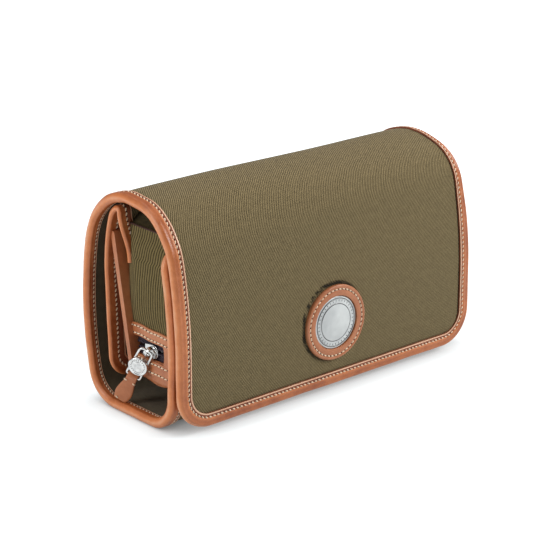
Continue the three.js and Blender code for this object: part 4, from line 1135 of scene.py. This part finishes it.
def make_pouch_lower():
    levels = [(z, 0.0, front_at(z, LINING_FACE) + 0.4) for z in (WINDOW_FOOT, 35, 32, 29, 27, 25.2)]
    levels += [(23.9, 0.5, levels[-1][2] + 0.4), (23.2, 2.0, levels[-1][2] + 1.6)]
    rings = pouch_rings(levels)
    ripple = 0.9 * np.sin(rings[..., 1] / 5.0 + 1.0) + 0.6 * np.sin(rings[..., 0] / 13)
    rings[..., 2] += ripple * np.clip((34 - rings[..., 2]) / 10, 0, 1) * 0.6
    rings = close_rings(rings, (POUCH_FRONT + POUCH_BACK) / 2, (0.3, 0.65, 0.97))
    made = pouch_wall("pouch_lower_leather", rings, trim_leather, turned=True)
    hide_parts("pouch_lower")
    return made


def shoulder_seam():
    """A dark cord in the seam between the pouch's sides and its roof."""
    line = pouch_rings([(SHOULDER + 0.2, -0.1, front_at(FOLLOWED_TO, WALL) + 0.9)])[0]
    upright = np.array([0.0, 0.0, 1.0])
    side = np.cross(unit(np.gradient(line, axis=0)), upright)
    cos, sin = [0.55 * part[None, :, None] for part in circle(8)]
    made = swept("pouch_shoulder_seam", line[:, None, :] + cos * side[:, None, :] + sin * upright)
    return dress(made, needle_hole)


pouch_walls = [*make_pouch_upper(), make_pouch_lower()]
for one in pouch_walls:
    wall = one.modifiers.new("Wall", "SOLIDIFY")
    wall.thickness = POUCH_WALL * MM
    wall.offset = -1
for one in (*pouch_walls, shoulder_seam()):
    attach(one, "front_panel")

# %% [markdown]
# Two sewn strips of leather hold the zip. They follow the pouch's outline as a profile of its
# own, so a strip is a rounded section carried along that profile.

# %% Zip trims
TRIM_SIDE = 37.0 + BACK_SWELL
TRIM_START = WALL - LINING_FACE - 0.8
plan = Profile(90, [("right", TRIM_SIDE, 0), arc("right_corner", 6, 90), ("rear", 209.0, 0),
                    arc("left_corner", 6, 90), ("left", TRIM_SIDE, 0)], start=(POUCH_HALF, POUCH_FRONT))
TRIM_END, TRIM_THICK = plan.length - TRIM_START, 1.3


def trim_wave(s):
    return 0.35 * np.sin(s / 7.0) + 0.25 * np.sin(s / 3.1 + 1)


def on_plan(height, s, depth):
    """A point of the pouch's outline: height up, s along, depth in from the canvas."""
    return stacked(*plan.inset(s, depth), height)


def frames_at(z, s, lift):
    """Centre, direction along and outward direction of points on the outline."""
    centre = on_plan(z, s, -lift)
    along = unit(on_plan(z, s + 0.3, -lift) - centre)
    return centre, along, unit(on_plan(z, s, -lift - 0.5) - centre)


def strip(name, low, high):
    across, out = rounded_section((high - low) / 2, TRIM_THICK, 0.45).T
    s = np.linspace(TRIM_START, TRIM_END, int((TRIM_END - TRIM_START) / 1.8) + 2)[:, None]
    height = across + (low + high) / 2 + trim_wave(s)
    made = swept(name, on_plan(height, s, -(out + TRIM_THICK / 2 + 0.15)))
    return dress(made, trim_leather)


def strip_row(name, height):
    def frames(s):
        return framed(*frames_at(height + trim_wave(s), s, TRIM_THICK + 0.15))

    s = np.arange(TRIM_START + 1.5, TRIM_END - 1.5, TRIM_PITCH)
    return sewn_row(name, frames(s), frames(s + TRIM_PITCH / 2), 6)


PATCH_MIDDLE, PATCH_RISE, PATCH_THICK = 10.5, 6.6, 1.2


def end_patch(word, s_middle, front):
    """The upright piece that closes the window: it has a hollow inner side and runs on to the
    front panel, which lies forwards (front 1) or backwards (front -1) along the outline."""
    v = np.linspace(-1, 1, 15)[:, None]
    side, out = rounded_section(1.0, PATCH_THICK, 0.4).T
    half = 2.6 + 1.3 * np.abs(v) ** 2.5
    s = s_middle + side * np.where(side * front > 0, PATCH_MIDDLE - TRIM_START, half)
    height = (WINDOW_TOP + WINDOW_FOOT) / 2 + v * PATCH_RISE
    made = swept(f"zip_end_patch_{word}", on_plan(height, s, -(out + PATCH_THICK / 2 + 0.12)))
    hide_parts(f"zip_trim_end_{word}")
    return dress(made, trim_leather)


upper_trim = strip("zip_strip_upper", WINDOW_TOP, TRIM_HIGH)
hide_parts("zip_trim_upper")
lower_trim = strip("zip_strip_lower", TRIM_LOW, WINDOW_FOOT)
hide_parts("zip_trim_lower")
trims = [upper_trim, lower_trim]
for word, height in (("upper_top", TRIM_HIGH - 1.7), ("upper_low", WINDOW_TOP + 1.7),
                     ("lower_top", WINDOW_FOOT - 1.7), ("lower_low", TRIM_LOW + 1.9)):
    trims += strip_row(f"zip_strip_{word}", height)
trims += [end_patch("right", PATCH_MIDDLE, -1), end_patch("left", plan.length - PATCH_MIDDLE, 1)]
for one in trims:
    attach(one, "front_panel")

# %% [markdown]
# The zip lies a little behind the window. Its tapes are flat woven bands, and its teeth are
# small moulded bars: one bar is worked out and repeated along both edges, half a pitch apart.

# %% Zip tapes and teeth
ZIP_Z, CHAIN, TOOTH_PITCH = 43.75, 2.2, 1.45
ZIP_FROM, ZIP_TO = 8.0, plan.length - 8.0
TAPE_NEAR, TAPE_FAR, TAPE_THICK = 1.2, 8.6, 0.6


def zip_tape(word, side):
    low, high = sorted((ZIP_Z + side * TAPE_NEAR, ZIP_Z + side * TAPE_FAR))
    across, out = rounded_section((high - low) / 2, TAPE_THICK, 0.2, 3).T
    s = np.linspace(ZIP_FROM, ZIP_TO, 170)[:, None]
    height = across + (low + high) / 2
    made = swept(f"zip_tape_band_{word}", on_plan(height, s, CHAIN + out), uv=stacked(s, height))
    dress(made, zip_cloth)
    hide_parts(f"zip_tape_{word}")
    return made


def zip_teeth(word, side):
    s = np.arange(ZIP_FROM + 0.8 + (TOOTH_PITCH / 2 if side < 0 else 0), ZIP_TO - 0.8, TOOTH_PITCH)
    slit = s > plan.run_of("left") - 3
    centre, _, out = frames_at(ZIP_Z + side * np.where(slit, 1.75, 0.75), s, -CHAIN)
    along = np.repeat([[0.0, 0.0, float(side)]], len(s), 0)
    bar = thread_shape(2.3, 0.95, 1.9, rings=5, sides=8) - [0, 0, 0.1]
    at_teeth = framed(centre, along, out)
    made = scatter(f"zip_teeth_row_{word}", bar, at_teeth, zip_nylon)
    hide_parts(f"zip_teeth_{word}")
    return made


for word, side in (("upper", 1), ("lower", -1)):
    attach(zip_tape(word, side), "front_panel")
    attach(zip_teeth(word, side), "front_panel")

# %% [markdown]
# The slider keeps the shape of its solid: a merged copy with small bevels catches the light
# the way a cast and polished part does. The pull is a bent wire frame with a turned disc.

# %% Slider
SLIDER_SHIFT = np.array([0.0, 5.3, -0.6])
SLIDER_STRETCH = 0.1
CREASE = 35


def merge_faces(work):
    bmesh.ops.remove_doubles(work, verts=work.verts, dist=1e-6)
    bmesh.ops.dissolve_limit(work, angle_limit=math.radians(4), verts=work.verts, edges=work.edges)


slider = place_object("slider_body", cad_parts["zip_slider"].data.copy())
rework(slider.data, merge_faces)
smooth(slider.data, CREASE)
bevel = slider.modifiers.new("Bevel", "BEVEL")
bevel.width, bevel.segments = 0.28 * MM, 3
bevel.limit_method, bevel.angle_limit = "ANGLE", math.radians(CREASE)
places = np.empty(len(slider.data.vertices) * 3)
slider.data.vertices.foreach_get("co", places)
places = places.reshape(-1, 3)
places[:, 1] += (places[:, 1] - places[:, 1].mean()) * SLIDER_STRETCH
places += SLIDER_SHIFT * MM
slider.data.vertices.foreach_set("co", places.ravel())
dress(slider, nickel)
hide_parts("zip_slider")
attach(slider, "slider")

# %% The pull's own frame: across, up and out of the end of the pouch
slope, tilt, spin = math.radians(31), math.radians(5.5), math.radians(30)
up = np.array([0, -math.sin(slope), math.cos(slope)])
outwards = np.array([-1.0, 0, 0])
square = np.cross(up, outwards)
pull_up = up * math.cos(tilt) - outwards * math.sin(tilt)
away = up * math.sin(tilt) + outwards * math.cos(tilt)
across = square * math.cos(spin) - away * math.sin(spin)
pull_out = away * math.cos(spin) + square * math.sin(spin)
SLIDER_Y = POUCH_FRONT + 20.9
BRIDGE_HEIGHT = 5.25
PULL_SHIFT = np.array([-1.2, 4.3, 1.2])
pull_at = np.array([CHAIN - POUCH_HALF - BRIDGE_HEIGHT, SLIDER_Y, ZIP_Z]) + PULL_SHIFT
PULL_FOOT, DISC_DROP, DISC_LIFT = -22.4, 12.9, 1.0


def on_pull(points):
    return pull_at + np.asarray(points, float) @ np.stack([across, pull_up, pull_out])


def frame_outline():
    """The wire's centreline: a half round top of the slider's width, straight sides that
    spread a little, and a straight foot with small rounded corners."""
    top, foot = 4.2, 4.6
    angle = np.linspace(0, np.pi, 24)
    flat = np.sign(np.cos(angle)) * np.abs(np.cos(angle)) ** 0.7
    arch = stacked(top * flat, -3.0 + 3.0 * np.sin(angle) ** 0.7)
    turn = np.linspace(0, np.pi / 2, 7)
    corner = stacked(-foot + 1 - np.cos(turn), PULL_FOOT + 1 - np.sin(turn))
    loop = np.concatenate([arch, corner, corner[::-1] * [-1, 1], arch[:1]])
    run = walked(loop)
    steps = np.linspace(0, run[-1], 120, endpoint=False)
    return stacked(*[np.interp(steps, run, column) for column in loop.T])


def make_pull_frame():
    line = frame_outline()
    tangent = unit(np.roll(line, -1, 0) - np.roll(line, 1, 0))
    normal = stacked(tangent[:, 1], -tangent[:, 0])
    out, rise = rounded_section(0.66, 1.3, 0.4, 4).T
    flat = line[:, None, :] + normal[:, None, :] * out[:, None]
    made = swept("pull_wire_frame", on_pull(stacked(flat[..., 0], flat[..., 1], rise)), closed=True)
    dress(made, nickel)
    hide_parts("pull_frame")
    return made


def make_pull_disc():
    profile = [(0, 0), (5.9, 0), (6.2, 0.25), (6.25, 0.8), (6.1, 1.3), (5.8, 1.5), (5.3, 1.45),
               (5.0, 1.15), (4.6, 1.1), (4.3, 1.1), (4.0, 1.1), (3.7, 1.12), (3.4, 1.4),
               (3.1, 1.45), (2.8, 1.3), (2.4, 1.25), (1.2, 1.35), (0, 1.4)]
    rings = on_pull(lathe(profile, 56) + [0, -DISC_DROP, DISC_LIFT])
    made = piece("pull_round_disc", rings, grid_quads(*rings.shape[:2], wrap_rows=True).tolist())
    rework(made.data, lambda work: bmesh.ops.remove_doubles(work, verts=work.verts, dist=1e-7),
           face_outwards)
    dress(made, nickel)
    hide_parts("pull_disc")
    return made


def pull_ticks():
    radial = stacked(*circle(20), 0.0)
    centre = on_pull(4.35 * radial + [0, -DISC_DROP, DISC_LIFT + 1.12])
    along = on_pull(radial) - pull_at
    out = np.repeat([pull_out], len(along), 0)
    tick = thread_shape(0.75, 0.4, 0.2, rings=4)
    return scatter("pull_disc_ticks", tick, framed(centre, along, out), needle_hole)


for one in (make_pull_frame(), make_pull_disc(), pull_ticks()):
    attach(one, "pull")

# %% [markdown]
# The tab is one strip of leather, folded round the frame's foot and sewn to itself. Its width
# swells to a belly and narrows to the tip, so a half width that changes along its length is
# given to one rounded section.

# %% Leather tab
TAB_TIP, BAR_WRAP = 21.0, 2.15


def tab_half(v):
    """Half the width at v below the bar: a neck, a smooth swell to the belly, then a taper."""
    return 3.4 + 1.9 * ease((v - 3.0) / 12.0) - 1.6 * np.clip((v - 15.5) / 6.0, 0, 1) ** 1.6


def make_tab():
    """The loop round the bar thins into two layers that lie together down to the tip."""
    angle = np.linspace(-0.5 * np.pi + 0.95, 1.5 * np.pi - 0.95, 20)
    v = np.linspace(2.2, TAB_TIP, 20)
    thick = 0.95 + 0.25 * hill(v, 2.2, 2.2)
    round_bar = BAR_WRAP * stacked(np.cos(angle), np.sin(angle))
    side = np.concatenate([stacked(thick, -v)[::-1], round_bar, stacked(-thick, -v)])
    edge = np.array([-1, -0.93, -0.7, 0, 0.7, 0.93, 1])[:, None]
    inset = np.array([0.72, 0.93, 1.0, 1.0, 1.0, 0.93, 0.72])[:, None]
    rings = stacked(tab_half(-side[:, 1]) * edge, side[:, 1] + PULL_FOOT, side[:, 0] * inset)
    made = swept("pull_leather_tab", on_pull(rings))
    dress(made, trim_leather)
    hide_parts("pull_tab")
    return made


def tab_thread(number, side, v, along):
    """A wrapped thread at v below the bar and side half widths from the middle."""
    half = float(tab_half(np.array(v)))
    x = side * (half - 0.5) if abs(side) == 1 else side * half
    centre = on_pull([[x, PULL_FOOT - v, 1.05]])
    at_thread = framed(centre, np.array([along]), np.array([pull_out]))
    shape = thread_shape(2.2, 0.9, 0.8, rings=7, sides=8)
    return scatter(f"tab_thread_{number}", shape, at_thread, thread)


tab_pieces = [
    make_tab(),
    tab_thread(1, -1, 4.6, across),
    tab_thread(2, 1, 4.6, across),
    tab_thread(3, -0.55, TAB_TIP - 1.0, unit(across * 0.9 - pull_up * 0.4)),
]
for one in tab_pieces:
    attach(one, "pull_tab")

# %% [markdown]
# Four elastic loops are sewn to the back lining. Each is a strap that arches off the cloth
# between two flat feet, so its middle line is a raised curve and the strap has a rounded edge.

# %% Elastic loops
LOOP_PITCH, LOOP_REACH, LOOP_RISE, LOOP_ARCH = 50, 17, 7.3, 12
LOOP_HALF, LOOP_THICK, LOOP_UP_BACK = 9.0, 1.1, 45


def make_loop(number):
    t = np.linspace(-LOOP_REACH, LOOP_REACH, 44)
    arch = np.clip(1 - (t / LOOP_ARCH) ** 2, 0, 1) ** 0.62 * LOOP_RISE
    lean = np.arctan(np.gradient(arch, t))[:, None]
    t, arch = t[:, None], arch[:, None]
    across, out = rounded_section(LOOP_HALF, LOOP_THICK, 0.35, 3).T
    x = (number - 2.5) * LOOP_PITCH + t - out * np.sin(lean)
    rise = 0.6 + arch + out * np.cos(lean)
    s = wrap.run_of("back") + LOOP_UP_BACK + across + 0 * x
    rings = on_wrap(x, s, LINING_FACE + 0.35 + rise)
    made = swept(f"elastic_loop_{number}", rings, uv=stacked(t, across))
    dress(made, elastic_cloth)
    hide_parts(f"cable_loop_{number}")
    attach(made, "shell")


for number in (1, 2, 3, 4):
    make_loop(number)

# %% The magnets keep their solids and get a plated finish
for node in ("flap_magnet", "front_magnet"):
    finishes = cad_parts[node].data.materials
    finishes.clear()
    finishes.append(magnet_steel)

# %% [markdown]
# The organizer stands on a white sweep in soft light. The floor is lit like any pale surface,
# and a glow that only the camera sees in full, stronger further out, lets it read white and keep
# the shadow. Near the object the glow is dimmed by ambient occlusion, a painted contact shadow.
# The lamps give a key from the right and a gloss on the bound end from behind left.

# %% Floor, world and lamps
FLOOR_REACH = 6.0
LAMP_AIM = Vector((0, 0, 0.07))


def floor_finish():
    finish = bpy.data.materials.new("White floor")
    finish.use_nodes = True
    tree = finish.node_tree
    tree.nodes.clear()
    rays = add_node(tree, "LightPath", {}).outputs
    seen = maths(tree, "ADD", rays["Is Camera Ray"], rays["Is Glossy Ray"])
    seen = maths(tree, "ADD", seen, 0.35, clamp=True)
    away = add_node(tree, "VectorMath", {0: object_place(tree)}, operation="LENGTH")
    reach = {"From Min": 0.2, "From Max": 0.7, "To Min": 0.74, "To Max": 1.0}
    share = add_node(tree, "MapRange", {"Value": away.outputs["Value"], **reach},
                     interpolation_type="SMOOTHSTEP")
    # Painted contact shadow: ambient occlusion dims the floor's glow close under the object.
    contact_shadow_ao = add_node(tree, "AmbientOcclusion", {"Distance": 0.014})
    free = weighted(tree, (contact_shadow_ao.outputs["AO"], 0.9), plus=0.1)
    shown = maths(tree, "MULTIPLY", maths(tree, "MULTIPLY", seen, share.outputs[0]), free)
    matte = add_node(tree, "BsdfDiffuse", {"Color": (0.46, 0.52, 0.54, 1)})
    glow = add_node(tree, "Emission", {"Color": (1, 1, 1, 1), "Strength": shown})
    both = add_node(tree, "AddShader", {0: matte.outputs[0], 1: glow.outputs[0]})
    add_node(tree, "OutputMaterial", {"Surface": both.outputs[0]})
    return finish


def make_floor():
    mesh = bpy.data.meshes.new("Floor")
    corners = [(x * FLOOR_REACH, y * FLOOR_REACH, 0) for x, y in ((-1, -1), (1, -1), (1, 1), (-1, 1))]
    mesh.from_pydata(corners, [], [(0, 1, 2, 3)])
    mesh.materials.append(floor_finish())
    place_object("Floor", mesh)


def make_world():
    world = bpy.data.worlds.new("Studio")
    bpy.context.scene.world = world
    world.use_nodes = True
    tree = world.node_tree
    rays = add_node(tree, "LightPath", {}).outputs
    seen = maths(tree, "ADD", rays["Is Camera Ray"], rays["Is Transmission Ray"], clamp=True)
    strength = weighted(tree, (seen, 0.76), plus=0.24)
    set_inputs(tree, tree.nodes["Background"], {"Color": (1, 1, 1, 1), "Strength": strength})


def lamp(name, place, size, power):
    data = bpy.data.lights.new(name, "AREA")
    data.shape = "RECTANGLE"
    data.size, data.size_y = size
    data.energy = power
    made = place_object(name, data)
    made.location = place
    made.rotation_mode = "QUATERNION"
    made.rotation_quaternion = (LAMP_AIM - Vector(place)).to_track_quat("-Z", "Y")


make_floor()
make_world()
lamp("Key softbox", (1.05, -0.95, 0.95), (0.6, 0.6), 19)
lamp("Left softbox", (-1.5, 0.35, 0.65), (0.5, 1.0), 11)
lamp("Right softbox", (1.4, 0.15, 0.75), (0.5, 0.8), 5)
lamp("Top softbox", (-0.2, 0.25, 1.5), (1.4, 1.0), 8)

# %% [markdown]
# The camera was solved from the photograph: corners of the flap and points of the bound end
# fix its bearing, height and distance, and a long lens gives the mild perspective.

# %% Camera
FOCAL_PIXELS, PICTURE_PIXELS, SENSOR = 2070, 550, 36
bearing, rise, distance = math.radians(41.2), math.radians(19.48), 1320.0
right = np.array([math.cos(bearing), -math.sin(bearing), 0.0])
level = np.array([-math.sin(bearing), -math.cos(bearing), 0.0])
back = level * math.cos(rise) + [0, 0, math.sin(rise)]
upright = np.cross(back, right)
eye = -5.0 * right + 59.9 * upright + distance * back + np.array([0, -0.17, 0])
lens = bpy.data.cameras.new("Camera")
lens.sensor_width = SENSOR
lens.lens = FOCAL_PIXELS / PICTURE_PIXELS * SENSOR
lens.clip_start, lens.clip_end = 0.05, 30
camera = place_object("Camera", lens)
facing = Matrix(np.stack([right, upright, back], -1).tolist()).to_4x4()
camera.matrix_world = Matrix.Translation((eye * MM).tolist()) @ facing
bpy.context.scene.camera = camera
bpy.context.scene.view_settings.view_transform = "Standard"
